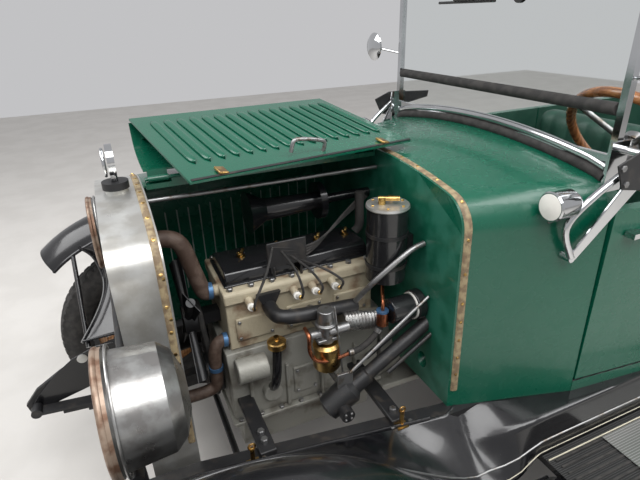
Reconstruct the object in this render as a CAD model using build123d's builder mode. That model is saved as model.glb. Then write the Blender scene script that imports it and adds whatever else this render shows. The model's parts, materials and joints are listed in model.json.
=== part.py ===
# Open touring car of the 1920s, front-engined, with folding bonnet and four doors.
# Millimetres. +X forward, +Y to the car's left, +Z up, ground at Z = 0.
import os
from math import sin, cos, radians, hypot, sqrt, atan2, pi
from build123d import *

os.makedirs("parts", exist_ok=True)

# Driving sizes
s_axle_front = 88.0        # stations are measured rearward from the radiator's front plane
arch_r = 530.0             # front fender crest round the wheel centre
lip_angle = 49.0           # where the fender's lip starts, above level
s_horn_tip = -372.0        # frontmost point, the tips of the frame's horns
s_hood_rear = 3500.0       # rearmost point, the folded hood
x_radiator = (s_hood_rear + s_horn_tip) / 2
wheelbase = 2700.0
track = 1400.0
tyre_radius = 360.0
tyre_width = 118.0
tyre_depth = 114.0
rim_radius = 246.0
fit_gap = 0.3              # parts set against each other
move_gap = 6.0             # moving panels against their neighbours
bore_clear = 0.05          # running clearance of bores on pins

rail_bottom = 440.0
rail_top = 545.0
rail_y_front = 350.0
rail_y_rear = 445.0
body_bottom = 545.3
body_top = 1100.0
wall = 34.0                # door and body wall
skin = 5.0                 # bonnet sheet

s_bonnet_front = 111.0
s_bonnet_rear = 774.0
s_cowl_rear = 1128.0
s_screen = 1150.0
s_body_rear = 3180.0

# Arch sections: crown height, where the crown ends and the round shoulder starts, side and foot half-widths
radiator_arch = dict(top=1172.0, knee_y=222.0, knee_z=1143.0, side_y=285.0, foot_y=290.0)
cowl_arch = dict(top=1182.0, knee_y=336.0, knee_z=1149.0, side_y=404.0, foot_y=416.0)
screen_arch = dict(top=1204.0, knee_y=430.0, knee_z=1166.0, side_y=512.0, foot_y=520.0)


def X(s):
    return x_radiator - s


x_front = X(s_axle_front)
x_rear = X(s_axle_front + wheelbase)
wheel_y = track / 2


def at_x(x):
    return Plane(origin=(x, 0, 0), x_dir=(0, 1, 0), z_dir=(1, 0, 0))


def at_y(y):
    return Plane(origin=(0, y, 0), x_dir=(1, 0, 0), z_dir=(0, -1, 0))


def block(x0, x1, y0, y1, z0, z1, mode=Mode.ADD):
    with Locations(((x0 + x1) / 2, (y0 + y1) / 2, (z0 + z1) / 2)):
        Box(abs(x1 - x0), abs(y1 - y0), abs(z1 - z0), mode=mode)


def rod(p, q, r, mode=Mode.ADD):
    a = Vector(*p)
    b = Vector(*q)
    with BuildSketch(Plane(origin=a, z_dir=b - a)) as disc:
        Circle(r)
    extrude(disc.sketch, amount=(b - a).length, mode=mode)


def cone(p, q, r0, r1):
    a = Vector(*p)
    b = Vector(*q)
    n = b - a
    with BuildSketch(Plane(origin=a, z_dir=n)) as near:
        Circle(r0)
    with BuildSketch(Plane(origin=b, z_dir=n)) as far:
        Circle(r1)
    loft([near.sketch, far.sketch])


def plate_y(points, y0, y1, mode=Mode.ADD):
    with BuildSketch(at_y(y0)) as outline:
        Polygon(*points, align=None)
    extrude(outline.sketch, amount=-(y1 - y0), mode=mode)


def plate_z(points, z0, z1, mode=Mode.ADD):
    with BuildSketch(Plane.XY.offset(z0)) as outline:
        Polygon(*points, align=None)
    extrude(outline.sketch, amount=z1 - z0, mode=mode)


def pipe(points, bends, r):
    with BuildLine() as path:
        FilletPolyline(*points, radius=bends)
    with BuildSketch(Plane(origin=path.line @ 0, z_dir=path.line % 0)) as ring:
        Circle(r)
    sweep(ring.sketch, path=path.line)


def turned(centre, profile, mode=Mode.ADD):
    # profile: (axial, radius) pairs about the cross axis
    with BuildSketch(Plane(origin=centre, x_dir=(0, 1, 0), z_dir=(1, 0, 0))) as half:
        Polygon(*profile, align=None)
    revolve(half.sketch, axis=Axis(centre, (0, 1, 0)), mode=mode)


def save(part, name):
    part.label = name
    export_step(part, "parts/" + name + ".step")


def arch_face(x, a, inset=0, foot_z=None):
    # closed arch: flat foot, leaning sides, round shoulders that run smoothly into the crown
    z0 = body_bottom if foot_z is None else foot_z
    slope = 2 * atan2(a["top"] - a["knee_z"], a["knee_y"])
    r = (a["side_y"] - a["knee_y"]) / (1 - sin(slope))
    cy = a["side_y"] - r
    cz = a["knee_z"] - r * cos(slope)
    foot_y = a["foot_y"] - inset

    def on_shoulder(angle):
        return cy + (r - inset) * sin(angle), cz + (r - inset) * cos(angle)

    knee = on_shoulder(slope)
    middle = on_shoulder((slope + pi / 2) / 2)
    side = on_shoulder(pi / 2)
    with BuildSketch(at_x(x)) as face:
        with BuildLine():
            Polyline((-side[0], side[1]), (-foot_y, z0), (foot_y, z0), side)
            ThreePointArc(side, middle, knee)
            ThreePointArc(knee, (0, a["top"] - inset), (-knee[0], knee[1]))
            ThreePointArc((-knee[0], knee[1]), (-middle[0], middle[1]), (-side[0], side[1]))
        make_face()
    return face.sketch


# Chassis frame with curved front horns
rail_plan = [(-60.0, rail_y_front), (100.0, rail_y_front), (760.0, rail_y_rear), (3225.0, rail_y_rear)]
horn_eye = (-341.0, 358.0)
spring_y_front = 312.0
spring_rear_eyes = ((2330.0, 418.0), (3195.0, 450.0))
kick = 95.0                # rise of the frame over the rear axle
flange = 46.0
web = 6.0


def frame_rail(side):
    top = [(X(s), side * y) for s, y in rail_plan]
    outer = top + [(x, y - side * flange) for x, y in reversed(top)]
    plate_z(outer, rail_bottom, rail_top + kick)


def frame_side_cut():
    # side profile left standing: straight frame with a rise over the rear axle
    lower = [(X(-80), rail_top), (X(2250), rail_top), (X(2420), rail_top + kick), (X(3320), rail_top + kick),
             (X(3320), rail_top + kick + 60), (X(-80), rail_top + kick + 60)]
    plate_y(lower, -600, 600, Mode.SUBTRACT)
    under = [(X(2300), rail_bottom - 40), (X(2300), rail_bottom), (X(2470), rail_bottom + kick),
             (X(3320), rail_bottom + kick), (X(3320), rail_bottom - 40)]
    plate_y(under, -600, 600, Mode.SUBTRACT)


with BuildPart() as chassis_frame:
    for side in (1, -1):
        frame_rail(side)
    frame_side_cut()
    # channel hollow of the straight part
    for side in (1, -1):
        inner = [(X(-60) + 1, side * (rail_y_front - web)), (X(100), side * (rail_y_front - web)),
                 (X(760), side * (rail_y_rear - web)), (X(2280), side * (rail_y_rear - web)),
                 (X(2280), side * (rail_y_rear - 80)), (X(760), side * (rail_y_rear - 80)),
                 (X(100), side * (rail_y_front - 80)), (X(-60) + 1, side * (rail_y_front - 80))]
        plate_z(inner, rail_bottom + web, rail_top - web, Mode.SUBTRACT)
    # horns
    for side in (1, -1):
        horn_side = [(X(-20), rail_top), (X(-143), rail_top - 22), (X(-248), 470), (X(-330), 420), (X(s_horn_tip), 370),
                     (X(-366), 342), (X(-338), 334), (X(-300), 360), (X(-200), 408), (X(-100), 436), (X(-20), rail_bottom)]
        plate_y(horn_side, side * (rail_y_front - 14), side * rail_y_front)
        rod((X(horn_eye[0]), side * (spring_y_front - 22), horn_eye[1]), (X(horn_eye[0]), side * rail_y_front, horn_eye[1]), 9)
    # cross-members
    for s, z0, z1, w in ((60.0, 446.0, 500.0, 70.0), (1235.0, 446.0, 500.0, 60.0), (1720.0, 446.0, 520.0, 60.0),
                         (2200.0, 446.0, 520.0, 60.0), (3190.0, rail_bottom + kick, rail_top + kick, 60.0)):
        half = rail_y_front - 3 if s < 100 else rail_y_rear - 3
        block(X(s) - w / 2, X(s) + w / 2, -half, half, z0, z1)
    # spring hangers and pins
    for side in (1, -1):
        rod((X(520), side * (spring_y_front - 22), 392), (X(520), side * (spring_y_front + 40), 392), 9)
        block(X(520) - 12, X(520) + 12, side * (spring_y_front + 26), side * (spring_y_front + 40), 376, 446)
        block(X(520) - 12, X(520) + 12, side * (spring_y_front + 26), side * 402, 432, 452)
        for s, z, z_top in ((spring_rear_eyes[0][0], spring_rear_eyes[0][1], 490), (spring_rear_eyes[1][0], spring_rear_eyes[1][1], 570)):
            rod((X(s), side * (rail_y_rear - 45), z), (X(s), side * (rail_y_rear + 10), z), 9)
            block(X(s) - 16, X(s) + 16, side * (rail_y_rear - 1.5), side * (rail_y_rear + 10), z - 16, z_top)
    # starting handle guide
    rod((X(60) - 20, 0, 470), (X(60) + 60, 0, 470), 24)
    rod((X(60) - 40, 0, 470), (X(60) + 80, 0, 470), 12, Mode.SUBTRACT)
save(chassis_frame.part, "chassis_frame")

# Front axle beam, kingpins and leaf springs
king_y = 596.0
pin_r = 11.0
axle_z = tyre_radius
beam_z = 262.0
spring_front = dict(y=spring_y_front, front=horn_eye, rear=(520.0, 392.0))


def leaf_spring(y, p_front, p_rear, s_mid, z_mid, leaves, width=44.0, thick=9.0):
    # a pack of leaves drawn as stacked bent plates
    for n in range(leaves):
        k = 1.0 - n / (leaves + 0.6)
        dz = n * thick
        pts_top = []
        for t in (-1.0, -0.5, 0.0, 0.5, 1.0):
            u = t * k
            s_end, z_end = p_front if u < 0 else p_rear
            f = abs(u)
            s_tip = s_end - 12 * (1 if s_end > s_mid else -1) if n == 0 else s_end
            s = s_mid + (s_tip - s_mid) * f
            z = z_mid + (z_end - z_mid) * f * f - dz
            pts_top.append((X(s), z))
        pts = pts_top + [(x, z - thick - 0.4) for x, z in reversed(pts_top)]
        plate_y(pts, y - width / 2, y + width / 2)
    for s, z in (p_front, p_rear):
        rod((X(s), y - width / 2, z), (X(s), y + width / 2, z), 17)
    for s, z in (p_front, p_rear):
        rod((X(s), y - width / 2 - 1, z), (X(s), y + width / 2 + 1, z), 9 + fit_gap, Mode.SUBTRACT)


with BuildPart() as front_axle:
    # dropped I beam
    beam = [(-king_y + 20, axle_z + 26), (-king_y + 20, axle_z - 26), (-470, beam_z - 26), (470, beam_z - 26),
            (king_y - 20, axle_z - 26), (king_y - 20, axle_z + 26), (455, beam_z + 24), (-455, beam_z + 24)]
    with BuildSketch(at_x(x_front - 22)):
        Polygon(*beam, align=None)
    extrude(amount=44)
    for side in (1, -1):
        for dx in (-22, 10):
            block(x_front + dx, x_front + dx + 12, -430, 430, beam_z - 12, beam_z + 10, Mode.SUBTRACT)
    for side in (1, -1):
        rod((x_front, side * king_y, axle_z - 42), (x_front, side * king_y, axle_z + 42), 24)
        rod((x_front, side * king_y, axle_z - 84), (x_front, side * king_y, axle_z + 84), pin_r)
        leaf_spring(side * spring_front["y"], spring_front["front"], spring_front["rear"],
                    s_axle_front, 330.0, 5)
        ys = side * spring_front["y"]
        block(x_front - 45, x_front + 45, ys - 30, ys + 30, beam_z + 20, 294)
        for dx in (-34, 34):
            block(x_front + dx - 6, x_front + dx + 6, ys - 32, ys + 32, beam_z - 6, 340)
save(front_axle.part, "front_axle")


# Steering knuckles and tie rod
arm_x = 150.0              # steering arm length behind the kingpin
arm_z = axle_z - 66.0
hub_r = 19.0
wheel_in = 640.0           # inner face of the hub


def knuckle(side):
    with BuildPart() as k:
        for z0, z1 in ((axle_z - 78, axle_z - 48), (axle_z + 48, axle_z + 76)):
            rod((x_front, side * king_y, z0), (x_front, side * king_y, z1), 24)
        y_out = side * (king_y + 30)
        block(x_front - 22, x_front + 22, y_out, side * (king_y + 16) + side * 30, axle_z - 78, axle_z + 76)
        for z0, z1 in ((axle_z - 78, axle_z - 48), (axle_z + 48, axle_z + 76)):
            block(x_front - 20, x_front + 20, side * king_y, side * (king_y + 40), z0, z1)
        rod((x_front, side * (king_y + 30), axle_z), (x_front, side * (wheel_y + 62), axle_z), hub_r)
        # steering arm
        block(x_front - arm_x - 14, x_front - 12, side * (king_y - 12), side * (king_y + 12), arm_z - 12, arm_z + 12)
        rod((x_front - arm_x, side * king_y, arm_z + 10), (x_front - arm_x, side * king_y, arm_z - 42), 8)
        for z0, z1 in ((axle_z - 79, axle_z - 47), (axle_z + 47, axle_z + 77)):
            rod((x_front, side * king_y, z0), (x_front, side * king_y, z1), pin_r + bore_clear, Mode.SUBTRACT)
    return k.part


save(knuckle(1), "knuckle_left")
save(knuckle(-1), "knuckle_right")

with BuildPart() as tie_rod:
    z_rod = arm_z - 28
    for side in (1, -1):
        rod((x_front - arm_x, side * king_y, z_rod - 11), (x_front - arm_x, side * king_y, z_rod + 10), 19)
    rod((x_front - arm_x, -king_y + 12, z_rod), (x_front - arm_x, king_y - 12, z_rod), 11)
    for side in (1, -1):
        rod((x_front - arm_x, side * king_y, z_rod - 12), (x_front - arm_x, side * king_y, z_rod + 12), 8 + bore_clear, Mode.SUBTRACT)
save(tie_rod.part, "tie_rod")

# Rear axle with its springs
with BuildPart() as rear_axle:
    rod((x_rear, -wheel_in + 14, axle_z), (x_rear, wheel_in - 14, axle_z), 38)
    rod((x_rear, -wheel_y - 62, axle_z), (x_rear, wheel_y + 62, axle_z), hub_r)
    rod((x_rear, -70, axle_z), (x_rear, 70, axle_z), 135)
    rod((x_rear + 90, 0, axle_z), (x_rear + 260, 0, axle_z + 14), 52)
    for side in (1, -1):
        rod((x_rear, side * 600, axle_z), (x_rear, side * 612, axle_z), 150)
        ys = side * (rail_y_rear - 23)
        leaf_spring(ys, spring_rear_eyes[0], spring_rear_eyes[1], s_axle_front + wheelbase, 442.0, 5, 42.0)
        block(x_rear - 50, x_rear + 50, ys - 34, ys + 34, axle_z + 20, 408)
        for dx in (-40, 40):
            block(x_rear + dx - 6, x_rear + dx + 6, ys - 32, ys + 32, axle_z, 452)
save(rear_axle.part, "rear_axle")

# Wheels with twelve wooden spokes
spokes = 12
hub_y0 = -58.0
hub_y1 = 96.0


def wheel(centre, side, drum):
    cx, cy, cz = centre
    with BuildPart() as w:
        turned(centre, [(side * a, r) for a, r in ((-44, 226), (-44, rim_radius), (44, rim_radius), (44, 226))])
        turned(centre, [(side * a, r) for a, r in ((-24, 200), (-24, 228), (24, 228), (24, 200))])
        turned(centre, [(side * a, r) for a, r in ((-22, 0), (-22, 92), (22, 92), (22, 0))])
        turned(centre, [(side * a, r) for a, r in ((hub_y0, 0), (hub_y0, 52), (60, 52), (66, 44), (90, 40), (hub_y1, 30), (hub_y1, 0))])
        for n in range(spokes):
            a = radians(n * 360 / spokes + 15)
            p = (cx + 80 * cos(a), cy, cz + 80 * sin(a))
            q = (cx + 208 * cos(a), cy, cz + 208 * sin(a))
            rod(p, q, 17)
        if drum:
            turned(centre, [(side * a, r) for a, r in ((-70, 0), (-70, 150), (-26, 150), (-20, 140), (-20, 0))])
            turned(centre, [(side * a, r) for a, r in ((-71, 60), (-71, 143), (-34, 143), (-34, 60))], Mode.SUBTRACT)
        turned(centre, [(side * a, r) for a, r in ((-80, 0), (-80, hub_r + bore_clear), (64, hub_r + bore_clear), (64, 0))],
               Mode.SUBTRACT)
    return w.part


def tyre(centre):
    with BuildPart() as t:
        with BuildSketch(Plane(origin=centre, x_dir=(0, 1, 0), z_dir=(1, 0, 0))):
            with Locations((0, tyre_radius - tyre_depth / 2)):
                RectangleRounded(tyre_width, tyre_depth, 40)
            with Locations((0, rim_radius + fit_gap - 20)):
                Rectangle(tyre_width, 40, mode=Mode.SUBTRACT)
        revolve(axis=Axis(centre, (0, 1, 0)))
    return t.part


wheel_table = [
    # name, x, side, drum
    ("front_left", x_front, 1, False),
    ("front_right", x_front, -1, False),
    ("rear_left", x_rear, 1, True),
    ("rear_right", x_rear, -1, True),
]
for name, x, side, drum in wheel_table:
    centre = (x, side * wheel_y, tyre_radius)
    save(wheel(centre, side, drum), "wheel_" + name)
    save(tyre(centre), "tyre_" + name)

# Spare wheel on the tail
spare_x = X(s_body_rear + 122)
spare_z = 715.0
with BuildPart() as spare_wheel:
    with BuildSketch(Plane(origin=(spare_x, 0, spare_z), x_dir=(1, 0, 0), z_dir=(0, -1, 0))):
        with Locations((0, tyre_radius - tyre_depth / 2)):
            RectangleRounded(tyre_width, tyre_depth, 40)
        with Locations((0, 236)):
            Rectangle(88, 40)
        with Locations((0, 45)):
            Rectangle(100, 90)
    revolve(axis=Axis((spare_x, 0, spare_z), (1, 0, 0)))
    for n in range(spokes):
        a = radians(n * 360 / spokes + 15)
        rod((spare_x, 60 * cos(a), spare_z + 60 * sin(a)), (spare_x, 226 * cos(a), spare_z + 226 * sin(a)), 17)
save(spare_wheel.part, "spare_wheel")

# Radiator shell, core and cap
radiator_foot = 500.3
shell_edge = 24.0
with BuildPart() as radiator_shell:
    arch_loft_front = arch_face(X(0), radiator_arch, 0, radiator_foot)
    arch_loft_back = arch_face(X(s_bonnet_front), radiator_arch, 0, radiator_foot)
    loft([arch_loft_front, arch_loft_back])
    hole_front = arch_face(X(-1), radiator_arch, shell_edge, radiator_foot + 40)
    hole_back = arch_face(X(s_bonnet_front + 1), radiator_arch, shell_edge, radiator_foot + 40)
    loft([hole_front, hole_back], mode=Mode.SUBTRACT)
    rod((X(50), 0, 1120), (X(50), 0, 1180), 27)
    rod((X(50), 0, 1100), (X(50), 0, 1149), 40, Mode.SUBTRACT)
save(radiator_shell.part, "radiator_shell")

with BuildPart() as radiator_core:
    loft([arch_face(X(14), radiator_arch, shell_edge + fit_gap, radiator_foot + 40.3),
          arch_face(X(96), radiator_arch, shell_edge + fit_gap, radiator_foot + 40.3)])
    block(X(30), X(70), -60, 60, 1110, 1200, Mode.SUBTRACT)
save(radiator_core.part, "radiator_core")

with BuildPart() as radiator_cap:
    rod((X(50), 0, 1180.3), (X(50), 0, 1198), 31)
    rod((X(50), 0, 1198), (X(50), 0, 1222), 8)
    rod((X(42), 0, 1250), (X(58), 0, 1250), 37)
save(radiator_cap.part, "radiator_cap")

# Headlamps on a cross bar
lamp_y = 450.0
lamp_z = 900.0
lamp_r = 120.0
lens_r = 107.0
s_lamp = -50.0
s_bar = -22.0
bar_z = 740.0
with BuildPart() as headlamps:
    for side in (1, -1):
        centre = (X(s_lamp), side * lamp_y, lamp_z)
        with BuildSketch(Plane(origin=centre, x_dir=(-1, 0, 0), z_dir=(0, 1, 0))) as drum:
            Polygon((0, lens_r), (0, lamp_r), (16, lamp_r), (20, 112), (110, 105), (134, 84), (150, 40), (152, 0),
                    (20, 0), (20, lens_r), align=None)
        revolve(drum.sketch, axis=Axis(centre, (1, 0, 0)))
        rod((X(s_bar), side * lamp_y, bar_z), (X(s_bar), side * lamp_y, lamp_z - lamp_r + 12), 13)
        rod((X(s_bar), side * 343, rail_top + 14), (X(s_bar), side * 395, bar_z), 12)
        block(X(s_bar + 26), X(s_bar - 26), side * 337, side * 349, rail_top + fit_gap, rail_top + 20)
    rod((X(s_bar), -lamp_y - 30, bar_z), (X(s_bar), lamp_y + 30, bar_z), 14)
save(headlamps.part, "headlamps")

# Engine: crankcase, block, covers and what hangs on them
e0 = 250.0
e1 = 705.0
with BuildPart() as crankcase:
    block(X(e0 - 16), X(e1), -150, 150, 486, 612)
    block(X(e0 - 24), X(e1 + 8), -170, 170, 474, 486)
    block(X(e0 + 10), X(e1 - 10), -122, 122, 322, 474)
    rod((X(e1), 0, 590), (X(772), 0, 590), 172)
    block(X(e1), X(1195), -95, 95, 420, 538)
    for s in (e0 + 20, e1 - 85):
        reach = rail_y_front + (s - 122) * (rail_y_rear - rail_y_front) / 660 - 6
        block(X(s) - 22, X(s) + 22, -reach, reach, rail_top + fit_gap, rail_top + 18)
save(crankcase.part, "crankcase")

with BuildPart() as engine_block:
    block(X(e0 + 4), X(e1 - 4), -112, 112, 612.3, 800)
    block(X(e0), X(e1), -122, 122, 800, 866)
save(engine_block.part, "engine_block")

with BuildPart() as rocker_covers:
    for s0 in (e0 + 6, e0 + 232):
        block(X(s0), X(s0 + 214), -80, 80, 866.3, 940)
save(rocker_covers.part, "rocker_covers")

fan_z = 765.0
with BuildPart() as fan:
    rod((X(150), 0, fan_z), (X(200), 0, fan_z), 42)
    for n in range(4):
        a = radians(45 + 90 * n)
        rod((X(165), 30 * cos(a), fan_z + 30 * sin(a)), (X(165), 180 * cos(a), fan_z + 180 * sin(a)), 12)
    block(X(200), X(e0 + 4 - 0.3), -20, 20, fan_z - 18, fan_z + 18)
    rod((X(190), 0, 560), (X(233.7), 0, 560), 62)
save(fan.part, "fan")

with BuildPart() as engine_pipes:
    pipe([(X(e0 - 0.3), 30, 836), (X(190), 30, 836), (X(190), 30, 1000), (X(96.3), 30, 1000)], [34, 34], 22)
    pipe([(X(e0 + 60), 122.3, 830), (X(e0 + 60), 190, 830), (X(e0 + 330), 190, 800)], [30], 20)
save(engine_pipes.part, "engine_pipes")

with BuildPart() as carburettor:
    rod((X(500), 230, 650), (X(500), 230, 690), 40)
    rod((X(500), 230, 690), (X(500), 230, 730), 22)
    block(X(470), X(530), 112.3, 232, 700, 730)
save(carburettor.part, "carburettor")

# Firewall and cowl
firewall = 22.0
s_roof_rear = 1172.0       # the scuttle top reaches over the front door's corner
column_y = 290.0
column_low = (X(700), column_y, 560)
column_tip = (X(1480), column_y, 1170)
n_col = hypot(column_low[0] - column_tip[0], column_low[2] - column_tip[2])
col_dir = ((column_tip[0] - column_low[0]) / n_col, 0, (column_tip[2] - column_low[2]) / n_col)
column_r = 20.0


def on_column(d):
    return tuple(column_low[n] + col_dir[n] * d for n in range(3))


def cowl_body(grow):
    loft([arch_face(X(s_bonnet_rear), cowl_arch, -grow), arch_face(X(s_cowl_rear), screen_arch, -grow)])
    loft([arch_face(X(s_cowl_rear), screen_arch, -grow), arch_face(X(s_roof_rear), screen_arch, -grow)])


with BuildPart() as cowl:
    cowl_body(0)
    loft([arch_face(X(s_bonnet_rear + firewall), cowl_arch, 20, body_bottom + 22),
          arch_face(X(s_cowl_rear), screen_arch, 20, body_bottom + 22)], mode=Mode.SUBTRACT)
    loft([arch_face(X(s_cowl_rear), screen_arch, 20, body_bottom + 22),
          arch_face(X(s_roof_rear + 1), screen_arch, 20, body_bottom + 22)], mode=Mode.SUBTRACT)
    block(X(s_cowl_rear), X(s_roof_rear + 5), -700, 700, 500, body_top + move_gap, Mode.SUBTRACT)
    rod(on_column(20), on_column(300), column_r + fit_gap, Mode.SUBTRACT)
save(cowl.part, "cowl")

with BuildPart() as vacuum_tank:
    rod((X(700), 190, 868), (X(700), 190, 1078), 56)
    block(X(700), X(s_bonnet_rear - fit_gap), 170, 210, 930, 990)
save(vacuum_tank.part, "vacuum_tank")

sound_y = -50.0
sound_z = 1035.0
with BuildPart() as horn:
    cone((X(378), sound_y, sound_z), (X(430), sound_y, sound_z), 62, 34)
    cone((X(430), sound_y, sound_z), (X(592), sound_y, sound_z), 34, 26)
    rod((X(592), sound_y, sound_z), (X(612), sound_y, sound_z), 56)
    rod((X(612), sound_y, sound_z), (X(s_bonnet_rear - fit_gap), sound_y, sound_z), 14)
save(horn.part, "horn")

# Bonnet: right half closed, left half opened
hinge_z = cowl_arch["top"] + 7.5
bonnet_s0 = s_bonnet_front + 7.0
bonnet_s1 = s_bonnet_rear - 7.0
bonnet_foot = 585.0
centre_gap = 11.0
parting_z = 1060.0         # height of the joint between top and side panels
parting_gap = 3.0


def mix(a, b, t):
    return {k: a[k] + (b[k] - a[k]) * t for k in a}


def arch_between(s):
    return mix(radiator_arch, cowl_arch, (s - s_bonnet_front) / (s_bonnet_rear - s_bonnet_front))


pin_inset = 11.0           # the side panel's hinge line lies inside the sheet
fold_front = (X(bonnet_s0), arch_between(bonnet_s0)["side_y"] - pin_inset, parting_z)
fold_rear = (X(bonnet_s1), arch_between(bonnet_s1)["side_y"] - pin_inset, parting_z)
fold_angle = 107.0
open_angle = 188.0


def bonnet_sheet(s0, s1):
    loft([arch_face(X(s0), arch_between(s0), 0, bonnet_foot), arch_face(X(s1), arch_between(s1), 0, bonnet_foot)])
    loft([arch_face(X(s0 - 1), arch_between(s0 - 1), skin, bonnet_foot - 9),
          arch_face(X(s1 + 1), arch_between(s1 + 1), skin, bonnet_foot - 9)], mode=Mode.SUBTRACT)


def left_sheet(z0, z1):
    # the left half between two heights
    bonnet_sheet(bonnet_s0, bonnet_s1)
    block(X(bonnet_s0 - 40), X(bonnet_s1 + 40), centre_gap, 700, z0, z1, Mode.INTERSECT)


knuckle_stations = (150.0, 440.0, 730.0)
fold_marks = (0.10, 0.5, 0.90)


def centre_knuckles():
    for s in knuckle_stations:
        z_sheet = arch_between(s)["top"]
        rod((X(s) - 25, 0, hinge_z), (X(s) + 25, 0, hinge_z), 8)
        block(X(s) - 24, X(s) + 24, 4, 26, z_sheet - 4, hinge_z)
        rod((X(s) - 26, 0, hinge_z), (X(s) + 26, 0, hinge_z), centre_pin + bore_clear, Mode.SUBTRACT)


def fold_point(t, d):
    a = Vector(*fold_rear)
    b = Vector(*fold_front)
    u = (b - a).normalized()
    p = a + (b - a) * t + u * d
    return (p.X, p.Y, p.Z)


def fold_hinge(on_top):
    # rings and straps inside the sheet, along the shoulder
    with BuildPart() as h:
        for t in fold_marks:
            spans = ((-38.0, -24.0), (24.0, 38.0)) if on_top else ((-20.0, 20.0),)
            for d0, d1 in spans:
                x0, y0, z0 = fold_point(t, (d0 + d1) / 2)
                half = (d1 - d0) / 2 if on_top else 12.0
                if on_top:
                    shape = [(y0 - 4, z0), (y0 + 4, z0), (y0 + 16, z0 + 20), (y0 + 16, z0 + 50), (y0 - 24, z0 + 50)]
                else:
                    shape = [(y0 - 4, z0), (y0 + 4, z0), (y0 + 16, z0 - 20), (y0 + 16, z0 - 50), (y0 - 6, z0 - 50)]
                with BuildSketch(at_x(x0 - half)) as strap:
                    Polygon(*shape, align=None)
                extrude(strap.sketch, amount=2 * half)
        s0 = bonnet_s0 - 10
        s1 = bonnet_s1 + 10
        loft([arch_face(X(s0), arch_between(s0), skin - 2, bonnet_foot - 9), arch_face(X(s1), arch_between(s1), skin - 2, bonnet_foot - 9)],
             mode=Mode.INTERSECT)
        for t in fold_marks:
            spans = ((-38.0, -24.0), (24.0, 38.0)) if on_top else ((-20.0, 20.0),)
            for d0, d1 in spans:
                rod(fold_point(t, d0), fold_point(t, d1), 5.5)
            if on_top:
                rod(fold_point(t, -38), fold_point(t, 38), fold_pin)
            else:
                rod(fold_point(t, -21), fold_point(t, 21), fold_pin + bore_clear, Mode.SUBTRACT)
    return h.part


centre_pin = 4.5
fold_pin = 2.5
with BuildPart() as bonnet_top_left:
    left_sheet(parting_z + parting_gap, 1500)
    centre_knuckles()
    add(fold_hinge(True))

with BuildPart() as bonnet_side_left:
    left_sheet(300, parting_z - parting_gap)
    add(fold_hinge(False))

centre_axis = Axis((X(bonnet_s1), 0, hinge_z), (1, 0, 0))
fold_axis = Axis(fold_rear, (fold_front[0] - fold_rear[0], fold_front[1] - fold_rear[1], fold_front[2] - fold_rear[2]))
save(bonnet_top_left.part.rotate(centre_axis, open_angle), "bonnet_top_left")
save(bonnet_side_left.part.rotate(fold_axis, -fold_angle).rotate(centre_axis, open_angle), "bonnet_side_left")

with BuildPart() as bonnet_right:
    bonnet_sheet(s_bonnet_front + fit_gap, s_bonnet_rear - fit_gap)
    block(X(bonnet_s0 - 40), X(bonnet_s1 + 40), -centre_gap + 6, 700, 300, 1500, Mode.SUBTRACT)
    block(X(bonnet_s0), X(bonnet_s1), -14, 2, hinge_z - 26, hinge_z - 3.5)
    for s in knuckle_stations:
        rod((X(s) - 31, 0, hinge_z), (X(s) + 31, 0, hinge_z), 13, Mode.SUBTRACT)
    rod((X(bonnet_s0), 0, hinge_z), (X(bonnet_s1), 0, hinge_z), centre_pin)
save(bonnet_right.part, "bonnet_right")

# Body tub with four doors
plan = [(s_cowl_rear + fit_gap, 521.0), (1760.0, 590.0), (2420.0, 598.0), (2960.0, 590.0), (s_body_rear, 470.0)]
door_table = [
    # name, front station, rear station, where it lies from its hinge: 1 ahead, -1 behind
    ("front", 1134.0, 1716.0, 1),
    ("rear", 2010.0, 2420.0, -1),
]
door_foot = 588.0
rear_arch_r = 500.0        # rear fender crest round the wheel centre
door_arch_r = rear_arch_r + 14


def plan_y(s):
    for (s0, y0), (s1, y1) in zip(plan, plan[1:]):
        if s <= s1:
            return y0 + (y1 - y0) * (s - s0) / (s1 - s0)
    return plan[-1][1]


def tub_outline(inset, front):
    left = [(X(s - (inset if n == len(plan) - 1 else 0)), y - inset) for n, (s, y) in enumerate(plan)]
    left[0] = (X(front), left[0][1])
    right = [(x, -y) for x, y in reversed(left)]
    return left + right


def tub_shell():
    plate_z(tub_outline(0, s_cowl_rear + fit_gap), body_bottom, body_top)
    plate_z(tub_outline(wall, s_cowl_rear - 20), body_bottom + 24, body_top + 10, Mode.SUBTRACT)


hinge_heights = (770.0, 1000.0)
hinge_out = 13.0
hinge_pin = 4.0


def door_face(s0, s1, grow):
    # side outline of a door; its lower rear corner runs round the rear fender
    x0 = X(s0 - grow)
    x1 = X(s1 + grow)
    foot = door_foot - grow
    top = body_top + 20
    r = door_arch_r - grow
    with BuildSketch(at_y(0)) as face:
        if hypot(x1 - x_rear, foot - axle_z) < r:
            low = (x_rear + sqrt(r ** 2 - (foot - axle_z) ** 2), foot)
            high = (x1, axle_z + sqrt(r ** 2 - (x1 - x_rear) ** 2))
            reach = hypot((low[0] + high[0]) / 2 - x_rear, (low[1] + high[1]) / 2 - axle_z)
            middle = (x_rear + ((low[0] + high[0]) / 2 - x_rear) * r / reach, axle_z + ((low[1] + high[1]) / 2 - axle_z) * r / reach)
            with BuildLine():
                Polyline(low, (x0, foot), (x0, top), (x1, top), high)
                ThreePointArc(high, middle, low)
            make_face()
        else:
            Polygon((x1, foot), (x0, foot), (x0, top), (x1, top), align=None)
    return face.sketch


def hinge_point(s0, s1, lies, side):
    s = (s1 if lies > 0 else s0) + lies * move_gap / 2
    return X(s), side * (plan_y(s) + hinge_out)


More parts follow.
